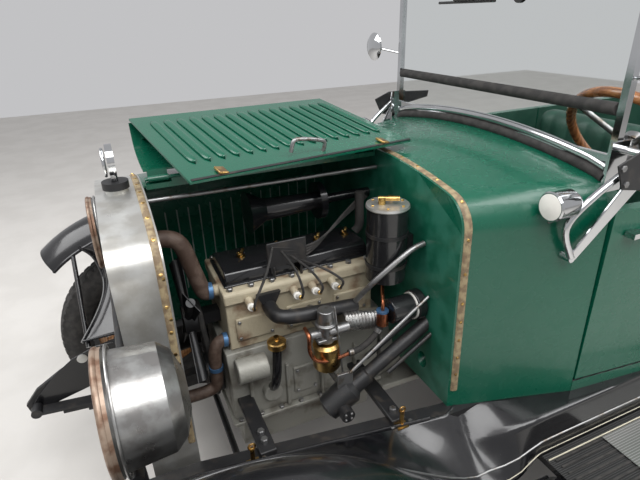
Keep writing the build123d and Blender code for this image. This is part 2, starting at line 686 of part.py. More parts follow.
def hinge_lugs(side, s0, s1, lies):
    x, y = hinge_point(s0, s1, lies, side)
    skin_y = abs(y) - hinge_out
    for z in hinge_heights:
        rod((x, y, z - 34), (x, y, z + 34), hinge_pin)
        for z0, z1 in ((z - 34, z - 22), (z + 22, z + 34)):
            rod((x, y, z0), (x, y, z1), 7)
            block(x - lies * 24, x, side * (skin_y + 6), side * (skin_y + 20), z0, z1)
            block(x - lies * 24, x - lies * 8, side * (skin_y - 4), side * (skin_y + 20), z0, z1)


with BuildPart() as body_tub:
    tub_shell()
    for name, s0, s1, lies in door_table:
        extrude(door_face(s0, s1, move_gap), amount=700, both=True, mode=Mode.SUBTRACT)
    # raised floor over the frame's rise
    block(X(2236), X(s_body_rear + 5), -rail_y_rear - 14, rail_y_rear + 14, body_bottom - 5, rail_top + kick + fit_gap, Mode.SUBTRACT)
    block(X(2224), X(s_body_rear - 20), -460, 460, rail_top + kick + fit_gap, rail_top + kick + 24)
    block(X(2236), X(2224), -550, 550, body_bottom + 4, rail_top + kick + 24)
    for side in (1, -1):
        block(X(2224), X(s_body_rear - 30), side * (rail_y_rear + 14), side * (rail_y_rear + 28), body_bottom + 4, rail_top + kick + 24)
    # seat boxes and front seat back board
    block(X(1560), X(1985), -500, 500, body_bottom + 20, 715)
    block(X(2560), X(3000), -500, 500, rail_top + kick + 14, 735)
    block(X(2050), X(2064), -500, 500, body_bottom + 20, 1080)
    rod((X(s_body_rear - 20), 0, spare_z), (X(s_body_rear + 122 - 50.3), 0, spare_z), 45)
    for side in (1, -1):
        block(X(3300), X(s_body_rear - 16), side * 430, side * 456, body_top - 22, body_top)
    for name, s0, s1, lies in door_table:
        for side in (1, -1):
            hinge_lugs(side, s0, s1, lies)
save(body_tub.part, "body_tub")


def door(side, s0, s1, lies):
    with BuildPart() as d:
        tub_shell()
        extrude(door_face(s0, s1, 0), amount=-side * 700, mode=Mode.INTERSECT)
        grip = s0 + 95 if lies > 0 else s1 - 95
        block(X(grip - 55), X(grip + 55), side * (plan_y(grip) - 3), side * (plan_y(grip) + 24), body_top - 70, body_top - 56)
        x, y = hinge_point(s0, s1, lies, side)
        skin_y = abs(y) - hinge_out
        for z in hinge_heights:
            rod((x, y, z - 21.5), (x, y, z + 21.5), 7)
            block(x, x + lies * 60, side * (skin_y + 4), side * (skin_y + 9), z - 21, z + 21)
            block(x + lies * 8, x + lies * 60, side * (skin_y - 4), side * (skin_y + 9), z - 21, z + 21)
            rod((x, y, z - 22), (x, y, z + 22), hinge_pin + bore_clear, Mode.SUBTRACT)
    return d.part


for name, s0, s1, lies in door_table:
    for side, hand in ((1, "left"), (-1, "right")):
        save(door(side, s0, s1, lies), "door_" + name + "_" + hand)

# Seats and folded hood
with BuildPart() as seats:
    block(X(1520), X(1960), -500, 500, 715.3, 850)
    block(X(1920), X(2049.7), -500, 500, 850, 1110)
    block(X(2520), X(2985), -500, 500, 735.3, 870)
    block(X(2985), X(3135), -440, 440, 870, 1130)
save(seats.part, "seats")

with BuildPart() as folded_hood:
    with BuildSketch(at_y(560)) as bundle:
        with Locations((X((3142 + s_hood_rear) / 2), 1100.3 + 75)):
            RectangleRounded(s_hood_rear - 3142, 150, 60)
    extrude(bundle.sketch, amount=1120)
save(folded_hood.part, "folded_hood")

# Fenders: crowned strips swept round the wheels
fender_in = 604.0
fender_out = 812.0
fender_sheet = 5.0


def fender_section(plane):
    with BuildSketch(plane) as face:
        with BuildLine():
            a = ThreePointArc((fender_in - 710, 62), (10, 0), (fender_out - 710, 50))
            b = ThreePointArc((fender_in - 710, 62 + fender_sheet), (10, fender_sheet), (fender_out - 710, 50 + fender_sheet))
            Line(a @ 0, b @ 0)
            Line(a @ 1, b @ 1)
        make_face()
    return face.sketch


def round_axle(x, r, angle):
    return (x + r * cos(radians(angle)), axle_z + r * sin(radians(angle)))


crest_y = 710.0
board_top = 415.0
board_s1 = 2170.0
leave_angle = 132.0        # where the front fender leaves its round
dive = 330.0
fall = leave_angle - 90.0
front_end = round_axle(x_front, arch_r, leave_angle)
front_low = (front_end[0] - cos(radians(fall)) * dive, front_end[1] - sin(radians(fall)) * dive)
sweep_r = (front_low[1] - board_top) / (1 - cos(radians(fall)))
board_s0 = x_radiator - (front_low[0] - sweep_r * sin(radians(fall)))


def fender_plane(x, z, angle):
    # angle of travel: 90 rises, 180 runs to the rear
    t = (cos(radians(angle)), 0, sin(radians(angle)))
    return Plane(origin=(x, crest_y, z), x_dir=(0, 1, 0), z_dir=t)


def round_strip(x, r, a0, a1):
    x0, z0 = round_axle(x, r, a0)
    face = fender_section(fender_plane(x0, z0, a0 + 90))
    revolve(face, axis=Axis((x, crest_y, axle_z), (0, -1, 0)), revolution_arc=a1 - a0)


with BuildPart() as fenders:
    round_strip(x_front, arch_r, lip_angle, leave_angle)
    dive_face = fender_section(fender_plane(front_end[0], front_end[1], leave_angle + 90))
    extrude(dive_face, amount=dive)
    tail_face = fender_section(fender_plane(front_low[0], front_low[1], leave_angle + 90))
    tail_axis = Axis((X(board_s0), crest_y, board_top + sweep_r), (0, 1, 0))
    revolve(tail_face, axis=tail_axis, revolution_arc=fall)
    round_strip(x_rear, rear_arch_r, 6, 170)
    edge_r = arch_r - 64
    for angle, y0, z0 in ((60.0, 359.0, 522.0), (139.0, 412.0, 515.0)):
        ex, ez = round_axle(x_front, edge_r, angle)
        rod((ex, y0, z0), (ex, fender_in + 1.5, ez), 8)
    for angle in (60.0, 105.0):
        ex, ez = round_axle(x_rear, rear_arch_r - 66, angle)
        rod((ex, plan_y(x_radiator - ex) + fit_gap, ez), (ex, fender_in + 2, ez), 10)
    mirror(about=Plane.XZ)
save(fenders.part, "fenders")

with BuildPart() as running_boards:
    for side in (1, -1):
        block(X(board_s0 + fit_gap), X(board_s1), side * 560, side * 800, 385, 405)
        plate_y([(X(board_s0 + fit_gap), 395), (X(board_s1), 395), (X(board_s1), 545), (X(board_s0 + fit_gap), 545)],
                side * 556, side * 562)
        block(X(board_s0 + fit_gap), X(board_s1), side * (rail_y_rear + fit_gap), side * 562, 540, 545)
save(running_boards.part, "running_boards")

# Windscreen
screen_y = 470.0
screen_top = 1610.0
with BuildPart() as windscreen_frame:
    for side in (1, -1):
        block(X(s_screen + 10), X(s_screen - 10), side * (screen_y - 9), side * (screen_y + 9), 1110, screen_top)
        block(X(s_screen + 30), X(s_screen - 30), side * (screen_y + 9), side * (screen_y + 14), 1110, 1260)
    for z in (1215.0, 1330.0, screen_top - 8):
        block(X(s_screen + 8), X(s_screen - 8), -screen_y, screen_y, z - 8, z + 8)
    loft([arch_face(X(s_bonnet_rear), cowl_arch, -fit_gap), arch_face(X(s_cowl_rear), screen_arch, -fit_gap)], mode=Mode.SUBTRACT)
    loft([arch_face(X(s_cowl_rear), screen_arch, -fit_gap), arch_face(X(s_roof_rear + 30), screen_arch, -fit_gap)],
         mode=Mode.SUBTRACT)
save(windscreen_frame.part, "windscreen_frame")

with BuildPart() as glass_panes:
    for z0, z1 in ((1223.3, 1321.7), (1338.3, screen_top - 16.3)):
        block(X(s_screen + 3), X(s_screen - 3), -screen_y + 9.3, screen_y - 9.3, z0, z1)
    for side in (1, -1):
        rod((X(s_lamp + 13), side * lamp_y, lamp_z), (X(s_lamp + 20 - fit_gap), side * lamp_y, lamp_z), lens_r - fit_gap)
save(glass_panes.part, "glass_panes")

# Steering column and wheel
with BuildPart() as steering_column:
    rod(on_column(0), on_column(n_col - 82), column_r)
    rod(on_column(-20), on_column(30), 44)
    rod(on_column(n_col - 90), on_column(n_col - 20), 9)
save(steering_column.part, "steering_column")

with BuildPart() as steering_wheel:
    with BuildSketch(Plane(origin=on_column(n_col), x_dir=(0, 1, 0), z_dir=col_dir)) as rim:
        with Locations((205, 0)):
            Circle(13)
    centre_plane = Plane(origin=on_column(n_col), x_dir=(0, 1, 0), z_dir=col_dir)
    with BuildSketch(Plane(origin=centre_plane.origin, x_dir=(0, 1, 0), z_dir=centre_plane.y_dir)) as ring:
        with Locations((205, 0)):
            Circle(13)
    revolve(ring.sketch, axis=Axis(on_column(n_col), col_dir))
    rod(on_column(n_col - 81), on_column(n_col + 12), 28)
    for n in range(4):
        a = radians(45 + 90 * n)
        v = centre_plane.x_dir * (200 * cos(a)) + centre_plane.y_dir * (200 * sin(a))
        c = Vector(*on_column(n_col - 6))
        rod(tuple(c), tuple(c + v), 9)
    rod(on_column(n_col - 82), on_column(n_col - 14), 9 + bore_clear, Mode.SUBTRACT)
save(steering_wheel.part, "steering_wheel")
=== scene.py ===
# Dressing and lighting of an open touring car of the 1920s, in metres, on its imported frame.
# Stations s run rearward from the radiator's front plane; y is to the car's left, z is up.
import json
import math
import bmesh
import bpy
from mathutils import Matrix, Vector


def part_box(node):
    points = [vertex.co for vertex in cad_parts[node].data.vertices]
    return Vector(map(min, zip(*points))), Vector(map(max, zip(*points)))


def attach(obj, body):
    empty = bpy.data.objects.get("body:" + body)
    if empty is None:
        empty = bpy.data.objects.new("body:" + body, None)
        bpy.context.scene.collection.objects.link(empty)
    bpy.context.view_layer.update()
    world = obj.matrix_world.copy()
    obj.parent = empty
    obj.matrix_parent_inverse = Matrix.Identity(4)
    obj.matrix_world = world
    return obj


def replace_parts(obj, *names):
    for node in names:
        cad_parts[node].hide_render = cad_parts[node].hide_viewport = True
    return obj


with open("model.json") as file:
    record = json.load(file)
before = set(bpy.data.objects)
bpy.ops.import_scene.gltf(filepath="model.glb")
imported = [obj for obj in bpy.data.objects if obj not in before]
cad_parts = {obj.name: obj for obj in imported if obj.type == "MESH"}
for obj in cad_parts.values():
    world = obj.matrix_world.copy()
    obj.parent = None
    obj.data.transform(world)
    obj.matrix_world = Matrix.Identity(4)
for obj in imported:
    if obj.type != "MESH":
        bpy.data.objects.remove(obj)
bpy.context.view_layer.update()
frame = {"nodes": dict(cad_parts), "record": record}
nodes = frame["nodes"]
radiator_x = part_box("radiator_shell")[1].x
lamp_y, lamp_z = 0.45, 0.9
fan_z = 0.765
sides = ((1, "left"), (-1, "right"))
upward = (0, 0, 1)
forward = (1, 0, 0)
rearward = (-1, 0, 0)
leftward = (0, 1, 0)


def at(s, y, z):
    return Vector((radiator_x - s, y, z))


def spot(p):
    # a point of the scene from its (s, y, z), or the point itself
    return p if isinstance(p, Vector) else at(*p)


def mix(a, b, t):
    return a + (b - a) * t


def along(rows, s):
    # value at a station, from rows of (station, value), level beyond both ends
    for (sa, a), (sb, b) in zip(rows, rows[1:]):
        if s <= sb:
            return mix(a, b, max(s - sa, 0) / (sb - sa))
    return rows[-1][1]


# Procedural materials
def material(name, colour, rough=0.4, metal=0.0, coat=0.0, second=None, scale=9.0, share=0.5,
             pattern="noise", bump=0.0, fine=220.0, blur=0.08):
    # two colours mixed by a texture, roughness by a second one, and bump where it is wanted
    m = bpy.data.materials.new(name)
    m.use_nodes = True
    tree = m.node_tree

    def add(kind, **values):
        node = tree.nodes.new(f"ShaderNode{kind}")
        for key, value in values.items():
            node.inputs[key].default_value = value
        return node

    def link(source, output, target, into):
        tree.links.new(source.outputs[output], target.inputs[into])

    shader = tree.nodes["Principled BSDF"]
    for key, value in (("Metallic", metal), ("Coat Weight", coat), ("Coat Roughness", 0.06)):
        shader.inputs[key].default_value = value
    place = add("TexCoord")
    source = {"noise": "TexNoise", "wood": "TexWave", "weave": "TexChecker", "cells": "TexBrick",
              "ribs": "TexWave"}[pattern]
    extra = {"noise": {"Detail": 6}, "wood": {"Distortion": 6, "Detail": 3}, "cells": {"Mortar Size": 0.06}}
    texture = add(source, Scale=scale, **extra.get(pattern, {}))
    link(place, "Object", texture, "Vector")
    if pattern == "ribs":
        texture.bands_direction = "Y"
    if pattern == "cells":
        turn = add("Mapping", Rotation=(0, math.pi / 2, 0))
        link(place, "Object", turn, "Vector")
        link(turn, "Vector", texture, "Vector")
    ramp = add("ValToRGB")
    other = second or [c * 0.82 for c in colour]
    for end, level, tone in zip(ramp.color_ramp.elements, (share - blur, share + blur), (colour, other)):
        end.position = min(max(level, 0), 1)
        end.color = (*tone, 1)
    link(texture, "Fac", ramp, "Fac")
    link(ramp, "Color", shader, "Base Color")
    wear = add("TexNoise", Scale=23)
    link(place, "Object", wear, "Vector")
    spread = add("MapRange", **{"To Min": max(rough - 0.1, 0.03), "To Max": min(rough + 0.1, 1)})
    link(wear, "Fac", spread, "Value")
    link(spread, "Result", shader, "Roughness")
    if bump:
        relief = add("Bump", Strength=bump, Distance=0.002)
        grain = texture
        if pattern == "noise":
            grain = add("TexNoise", Scale=fine)
            link(place, "Object", grain, "Vector")
        link(grain, "Fac", relief, "Height")
        link(relief, "Normal", shader, "Normal")
    return m


def clear(name, colour, rough=0.02):
    m = material(name, colour, rough, share=0.9)
    m.node_tree.nodes["Principled BSDF"].inputs["Transmission Weight"].default_value = 1.0
    m.node_tree.nodes["Principled BSDF"].inputs["IOR"].default_value = 1.05
    return m


green = material("green_paint", (0.0012, 0.072, 0.04), 0.27, coat=0.25, second=(0.002, 0.088, 0.049),
                 scale=2.2, blur=0.3)
deep_green = material(
    "green_dusty", (0.004, 0.085, 0.048), 0.42, coat=0.3, second=(0.02, 0.13, 0.085), scale=14)
black = material("gloss_black", (0.004, 0.004, 0.005), 0.22, coat=0.35, second=(0.012, 0.012, 0.013), scale=4)
satin_black = material(
    "satin_black", (0.012, 0.012, 0.013), 0.45, second=(0.035, 0.03, 0.026), scale=30, share=0.62)
shell = material("aged_nickel", (0.55, 0.55, 0.53), 0.33, metal=0.75, second=(0.45, 0.44, 0.41), scale=18,
                 bump=0.05)
ochre = material("lacing_strip", (0.3, 0.235, 0.135), 0.6, second=(0.17, 0.12, 0.07), scale=60, bump=0.5)
chrome = material("bright_chrome", (0.62, 0.63, 0.64), 0.08, metal=1.0, second=(0.55, 0.56, 0.57), scale=7)
steel = material("dull_steel", (0.28, 0.28, 0.28), 0.38, metal=0.9, second=(0.16, 0.13, 0.1), scale=45,
                 share=0.62)
drum = material("brushed_drum", (0.42, 0.42, 0.41), 0.3, metal=0.95, second=(0.3, 0.29, 0.28), scale=26,
                bump=0.08)
copper = material("copper", (0.55, 0.19, 0.09), 0.28, metal=1.0, second=(0.3, 0.11, 0.06), scale=40)
rim_copper = material(
    "lamp_rim_copper", (0.17, 0.095, 0.06), 0.42, metal=0.5, second=(0.33, 0.25, 0.19), scale=30)
brass = material("brass", (0.58, 0.38, 0.13), 0.3, metal=1.0, second=(0.32, 0.2, 0.08), scale=45)
iron = material("cream_iron", (0.4, 0.35, 0.25), 0.6, second=(0.2, 0.13, 0.08), scale=16, share=0.6,
                bump=0.5, fine=120)
case = material("grey_case", (0.27, 0.265, 0.235), 0.55, metal=0.25, second=(0.1, 0.085, 0.065), scale=12,
                share=0.6, bump=0.3, fine=150)
rubber = material("rubber", (0.018, 0.017, 0.016), 0.8, second=(0.035, 0.032, 0.03), scale=40, bump=0.2)
hose = material("brown_hose", (0.055, 0.032, 0.022), 0.65, second=(0.09, 0.06, 0.045), scale=50, bump=0.4)
blue_clamp = material("clamp_blue", (0.07, 0.16, 0.3), 0.4, metal=0.5)
white = material("porcelain", (0.75, 0.73, 0.68), 0.25, coat=0.5)
wood = material("varnished_wood", (0.3, 0.125, 0.045), 0.25, coat=0.8, second=(0.17, 0.062, 0.022),
                scale=22, pattern="wood", blur=0.4)
spoke_wood = material(
    "spoke_wood", (0.42, 0.22, 0.09), 0.35, coat=0.5, second=(0.28, 0.13, 0.05), scale=30,
    pattern="wood", blur=0.4)
leather = material(
    "green_leather", (0.008, 0.038, 0.025), 0.45, second=(0.014, 0.054, 0.036), scale=10,
    bump=0.35, fine=330)
piping = material("tan_piping", (0.42, 0.19, 0.06), 0.5, second=(0.32, 0.14, 0.045), scale=50)
canvas = material(
    "tan_canvas", (0.33, 0.26, 0.165), 0.9, second=(0.26, 0.2, 0.13), scale=900,
    pattern="weave", bump=0.15)
mat_rubber = material(
    "ribbed_mat", (0.03, 0.03, 0.03), 0.75, second=(0.01, 0.01, 0.01), scale=55, pattern="ribs", bump=1.0)
core = material("radiator_cells", (0.006, 0.006, 0.006), 0.6, metal=0.4, second=(0.09, 0.085, 0.075),
                scale=90, pattern="cells", bump=0.9)
silver = material("reflector", (0.85, 0.85, 0.83), 0.12, metal=1.0)
cream = material("cream_line", (0.62, 0.58, 0.46), 0.4)
glass = clear("clear_glass", (0.93, 0.96, 0.95))
lens = clear("lamp_glass", (0.9, 0.93, 0.93), 0.05)
red_glass = material("red_glass", (0.35, 0.01, 0.01), 0.12, coat=1.0)
# painted shade: near-black for the shaded openings behind the louvres
slit_painted_shade = material("louvre_painted_shade", (0.001, 0.004, 0.003), 0.7)
daylight = material("daylight_gaps", (0.3, 0.33, 0.3), 0.7)
plate_metal = material(
    "step_plate_metal", (0.42, 0.42, 0.41), 0.35, metal=0.9, second=(0.22, 0.22, 0.21),
    scale=70, pattern="cells", bump=0.6)


# Shapes as lists of points and faces
def across(axis):
    side = axis.cross(Vector(upward) if abs(axis.z) < 0.9 else Vector(leftward)).normalized()
    return side, axis.cross(side)


def skin_of(rings, n, closed=False):
    verts = [p for ring in rings for p in ring]
    faces = []
    last = len(rings) if closed else len(rings) - 1
    for j in range(last):
        for k in range(n):
            a, b = j * n, ((j + 1) % len(rings)) * n
            faces.append((a + k, a + (k + 1) % n, b + (k + 1) % n, b + k))
    if not closed:
        faces += [tuple(range(n))[::-1], tuple((len(rings) - 1) * n + k for k in range(n))]
    return verts, faces


def lathe(start, axis, profile, n=24):
    # profile rows: distance along the axis, radius
    start, axis = spot(start), Vector(axis).normalized()
    u, v = across(axis)
    rings = []
    for t, r in profile:
        middle = start + axis * t
        rings.append([middle + (u * math.cos(a) + v * math.sin(a)) * max(r, 1e-4)
                      for a in (2 * math.pi * k / n for k in range(n))])
    return skin_of(rings, n)


def rod(a, b, r, r1=None, n=20):
    a, b = spot(a), spot(b)
    return lathe(a, b - a, [(0, r), ((b - a).length, r if r1 is None else r1)], n)


def bolt(place, axis, r=0.008, h=0.006):
    return lathe(place, axis, [(0, r), (h * 0.8, r), (h, r * 0.8)], 6)


def bolts(places, axis, r=0.008, h=0.006):
    return [bolt(place, axis, r, h) for place in places]


def smooth_path(points, k=6, closed=False):
    # k points for each of the given ones, on a curve through them all
    out = []
    n = len(points)
    for i in range(n if closed else n - 1):
        p = [points[(i + d) % n] if closed else points[min(max(i + d, 0), n - 1)] for d in (-1, 0, 1, 2)]
        for j in range(k):
            t = j / k
            out.append(0.5 * (2 * p[1] + (p[2] - p[0]) * t + (2 * p[0] - 5 * p[1] + 4 * p[2] - p[3]) * t * t
                              + (3 * p[1] - p[0] - 3 * p[2] + p[3]) * t ** 3))
    return out if closed else out + [points[-1]]


def tube(points, r, n=10, k=6, closed=False, ridge=0.0):
    path = [spot(p) for p in points]
    path = smooth_path(path, k, closed) if k > 1 else path
    rings = []
    up = None
    for i, p in enumerate(path):
        ahead = path[(i + 1) % len(path)] if closed else path[min(i + 1, len(path) - 1)]
        behind = path[i - 1] if closed or i else path[0]
        t = (ahead - behind).normalized()
        if up is None:
            up = across(t)[0]
        up = (up - t * up.dot(t)).normalized()
        side = t.cross(up)
        size = r * (1 - ridge * (i % 2))
        rings.append([p + (up * math.cos(a) + side * math.sin(a)) * size
                      for a in (2 * math.pi * j / n for j in range(n))])
    return skin_of(rings, n, closed)


def prism(outline, depth):
    outline, depth = [spot(p) for p in outline], Vector(depth)
    return skin_of([outline, [p + depth for p in outline]], len(outline))


def block(s0, s1, y0, y1, z0, z1):
    return prism([(s0, y0, z0), (s1, y0, z0), (s1, y1, z0), (s0, y1, z0)], (0, 0, z1 - z0))


def across_x(rows, s0, s1):
    # an outline of (y, z) rows carried along the car
    return prism([(s0, y, z) for y, z in rows], (s0 - s1, 0, 0))


def grid(place, nu, nv):
    verts = [place(i / nu, j / nv) for i in range(nu + 1) for j in range(nv + 1)]
    w = nv + 1
    faces = [(i * w + j, (i + 1) * w + j, (i + 1) * w + j + 1, i * w + j + 1)
             for i in range(nu) for j in range(nv)]
    return verts, faces


def ring(middle, axis, r, thick, n=48, m=10):
    middle, axis = spot(middle), Vector(axis).normalized()
    u, v = across(axis)
    path = [middle + (u * math.cos(a) + v * math.sin(a)) * r for a in (2 * math.pi * k / n for k in range(n))]
    return tube(path, thick, m, 1, True)


def mirrored(shape):
    verts, faces = shape
    return [Vector((p.x, -p.y, p.z)) for p in verts], [tuple(reversed(f)) for f in faces]


def both(*shapes):
    return list(shapes) + [mirrored(s) for s in shapes]


def piece(name, shapes, mat, body="car", bevel=0.0, thick=0.0, place=None, sharp=35):
    # one object from joined shapes, riding on a body of the frame
    mesh = bpy.data.meshes.new(name)
    verts, faces = [], []
    for v, f in shapes:
        n = len(verts)
        verts += v
        faces += [tuple(i + n for i in q) for q in f]
    if place:
        verts = [place @ p for p in verts]
    mesh.from_pydata(verts, [], faces)
    work = bmesh.new()
    work.from_mesh(mesh)
    bmesh.ops.remove_doubles(work, verts=work.verts, dist=1e-6)
    bmesh.ops.recalc_face_normals(work, faces=work.faces)
    work.to_mesh(mesh)
    work.free()
    mesh.materials.append(mat)
    obj = bpy.data.objects.new(name, mesh)
    bpy.context.scene.collection.objects.link(obj)
    mesh.polygons.foreach_set("use_smooth", [True] * len(mesh.polygons))
    mesh.set_sharp_from_angle(angle=math.radians(sharp))
    if thick:
        wall = obj.modifiers.new("thickness", "SOLIDIFY")
        wall.thickness = thick
        wall.offset = 0
    if bevel:
        edge = obj.modifiers.new("edges", "BEVEL")
        edge.width = bevel
        edge.segments = 2
        edge.limit_method = "ANGLE"
    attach(obj, body)
    return obj


def paint(node, base, *rows):
    # rows: a material and a test of a face's middle (s, y, z) and normal
    mesh = nodes[node].data
    mesh.materials.clear()
    for m in (base, *[r[0] for r in rows]):
        mesh.materials.append(m)
    for face in mesh.polygons:
        c = face.center
        place = (radiator_x - c.x, c.y, c.z)
        face.material_index = 0
        for n, (m, test) in enumerate(rows):
            if test(place, face.normal):
                face.material_index = n + 1
                break


def touch(node, start, way):
    # where a ray first meets a CAD node, or None
    hit, where = nodes[node].ray_cast(spot(start), Vector(way))[:2]
    return where if hit else None


def skin_y(node, s, z, side=1):
    # outer half-width of a CAD node at a station and height
    where = touch(node, (s, side * 3, z), (0, -side, 0))
    return abs(where.y) if where else None


# Finishes of the CAD nodes
axle_s, axle_z, wheelbase = 0.088, 0.36, 2.7


def from_lamp(p):
    return math.hypot(abs(p[1]) - lamp_y, p[2] - lamp_z)


def from_axle(p, s):
    return math.hypot(p[0] - s, p[2] - axle_z)


for name in ("chassis_frame", "front_axle", "rear_axle", "knuckle_left", "knuckle_right", "tie_rod",
             "steering_column", "fan"):
    paint(name, satin_black)
for name in ("vacuum_tank", "horn", "fenders"):
    paint(name, black)
for name in ("bonnet_top_left", "bonnet_side_left", "bonnet_right"):
    paint(name, green)
paint("radiator_shell", shell, (ochre, lambda p, n: n.x < -0.9 and p[0] > 0.1))
paint("radiator_core", core, (satin_black, lambda p, n: n.x < 0.5))
paint("radiator_cap", satin_black, (chrome, lambda p, n: p[2] > 1.205))
paint("headlamps", drum,
      (silver, lambda p, n: n.x > 0.9 and from_lamp(p) < 0.108 and p[0] > -0.045),
      (rim_copper, lambda p, n: p[0] < -0.034 and p[2] > 0.77 and from_lamp(p) > 0.106),
      (satin_black, lambda p, n: p[2] < 0.785))
paint("cowl", green,
      (deep_green, lambda p, n: n.x > 0.9 and p[0] < 0.8 and p[2] < 1.12),
      (black, lambda p, n: p[2] < 0.56))
paint("running_boards", black, (mat_rubber, lambda p, n: n.z > 0.9 and 0.4 < p[2] < 0.41))
paint("windscreen_frame", chrome)
paint("glass_panes", glass, (lens, lambda p, n: p[0] < 0.5))
paint("steering_wheel", steel)
for word, hub_s in (("front", axle_s), ("rear", axle_s + wheelbase)):
    for side, hand in sides:
        paint(f"wheel_{word}_{hand}", spoke_wood,
              (satin_black, lambda p, n: from_axle(p, hub_s) > 0.226),
              (steel, lambda p, n: from_axle(p, hub_s) < 0.088))

# Engine: castings with their nuts and bolts
block_s0, block_s1 = 0.254, 0.701
bell_axis_z = 0.52
plug_s = (0.315, 0.445, 0.5, 0.56)
jacket_s = (0.33, 0.478, 0.626)
engine_case = [
    across_x([(-0.15, 0.486), (-0.15, 0.64), (-0.126, 0.7), (0.126, 0.7), (0.15, 0.64), (0.15, 0.486)],
             0.236, 0.705),
    across_x([(-0.17, 0.474), (-0.17, 0.486), (0.17, 0.486), (0.17, 0.474)], 0.228, 0.712),
    across_x([(-0.14, 0.474), (-0.104, 0.33), (0.104, 0.33), (0.14, 0.474)], 0.262, 0.695),
    lathe((0.705, 0, bell_axis_z), (-1, 0, -0.19),
          [(0, 0.166), (0.014, 0.166), (0.016, 0.15), (0.09, 0.14), (0.16, 0.108)], 40),
    block(0.86, 1.195, -0.095, 0.095, 0.42, 0.538),
    *both(*[block(s - 0.005, s + 0.005, 0.148, 0.163, 0.487, 0.636) for s in (0.29, 0.4, 0.51, 0.62)],
          block(0.42, 0.495, 0.149, 0.158, 0.52, 0.612), block(0.705, 0.9, 0.1, 0.19, 0.44, 0.462)),
    rod((0.35, 0.14, 0.56), (0.35, 0.174, 0.56), 0.028),
    rod((0.246, 0.196, 0.69), (0.33, 0.196, 0.69), 0.034),
    block(0.262, 0.314, 0.12, 0.19, 0.655, 0.688)]
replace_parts(piece("engine_case", engine_case, case, bevel=0.003), "crankcase")
bell_angles = [math.pi * k / 6 - math.pi / 2 for k in range(7)]
case_bolts = [
    *bolts([(0.25 + 0.062 * k, 0.16, 0.486) for k in range(8)], upward, 0.008, 0.008),
    *bolts([(s, 0.158, z) for s in (0.43, 0.485) for z in (0.53, 0.602)], leftward, 0.006, 0.006),
    *bolts([(0.719, 0.158 * math.cos(a), bell_axis_z + 0.158 * math.sin(a)) for a in bell_angles],
           rearward, 0.007, 0.008),
    *bolts([(0.27, 0.33, 0.562), (0.62, 0.38, 0.562), (0.27, 0.3, 0.562)], upward, 0.01, 0.012)]
piece("case_bolts", both(*case_bolts), steel)

cylinders = [
    across_x([(-0.112, 0.7003), (-0.112, 0.852), (0.112, 0.852), (0.112, 0.7003)], block_s0, block_s1),
    across_x([(-0.122, 0.85), (-0.122, 0.878), (-0.114, 0.886), (0.114, 0.886), (0.122, 0.878),
              (0.122, 0.85)], 0.25, 0.705),
    *both(*[block(s - 0.055, s + 0.055, 0.11, 0.119, 0.728, 0.8) for s in jacket_s],
          *[rod((s, 0.119, 0.858), (s, 0.146, 0.848), 0.012, 0.01) for s in plug_s]),
    rod((0.262, 0.05, 0.868), (0.236, 0.05, 0.868), 0.017)]
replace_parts(piece("cylinder_block", cylinders, iron, bevel=0.004), "engine_block")
head_nuts = [
    *bolts([(0.272 + 0.059 * k, 0.104, 0.886) for k in range(8)], upward, 0.009, 0.01),
    *bolts([(s + d, 0.119, z) for s in jacket_s for d in (-0.045, 0.045) for z in (0.738, 0.79)],
           leftward, 0.005, 0.005)]
piece("head_nuts", both(*head_nuts), steel)

cover_foot = 0.8865
dome = [(-0.08, cover_foot), (-0.08, 0.905), (-0.072, 0.92), (-0.055, 0.928),
        (0.055, 0.928), (0.072, 0.92), (0.08, 0.905), (0.08, cover_foot)]
flange = [(-0.09, cover_foot), (-0.09, 0.892), (0.09, 0.892), (0.09, cover_foot)]
covers = []
for s0, s1 in ((0.268, 0.47), (0.486, 0.7)):
    covers += [across_x(dome, s0, s1), across_x(flange, s0 - 0.007, s1 + 0.006)]
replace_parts(piece("valve_covers", covers, black, bevel=0.006), "rocker_covers")
nut = [(0, 0.013), (0.004, 0.013), (0.006, 0.008), (0.016, 0.007)]
wing = [(0, 0.004), (0.012, 0.006), (0.018, 0.003)]
wing_nuts = []
for s in (0.336, 0.438, 0.573, 0.665):
    wing_nuts.append(lathe((s, 0, 0.926), upward, nut, 12))
    wing_nuts += [lathe((s, 0, 0.938), (d, d, 0.7), wing, 8) for d in (1, -1)]
piece("cover_nuts", wing_nuts, brass)

# Spark plugs with their leads, which run to a bracket and on to the firewall
plugs, plug_caps, leads = [], [], []
plug_way = Vector((0, 0.94, 0.34))
insulator = [(0, 0.011), (0.01, 0.011), (0.011, 0.007), (0.03, 0.006), (0.034, 0.004)]
terminal = [(0, 0.006), (0.008, 0.006), (0.01, 0.003)]
firewall_s = 0.773
for n, s in enumerate(plug_s):
    root = at(s, 0.146, 0.849)
    plugs.append(lathe(root, plug_way, insulator, 16))
    plug_caps.append(lathe(root + plug_way * 0.033, plug_way, terminal, 12))
    end = root + plug_way * 0.043
    clip = at(0.4 + 0.025 * n, 0.1, 0.985 - 0.018 * n)
    rise, crest = end + Vector((0, 0.012, 0.03)), mix(end, clip, 0.5) + Vector((0, 0.03, 0.03))
    leads.append(tube([end, rise, crest, clip], 0.0035, 8))
piece("spark_plugs", plugs, white)
piece("plug_terminals", plug_caps, brass)
leads += [tube([(0.4 + 0.02 * k, 0.1, 0.985 - 0.015 * k), (0.52, 0.09, 0.965 - 0.006 * k),
                (0.66, 0.02, 1.0 + 0.004 * k), (firewall_s, -0.05, 1.02 + 0.008 * k)], 0.0035, 8)
          for k in range(4)]
piece("plug_leads", leads, rubber)
piece("lead_bracket", [
    block(0.383, 0.497, 0.0975, 0.1025, 0.925, 0.998),
    *[rod((s, 0.1, 0.925), (s, 0.1, 0.887), 0.004) for s in (0.4, 0.48)]], satin_black, bevel=0.002)

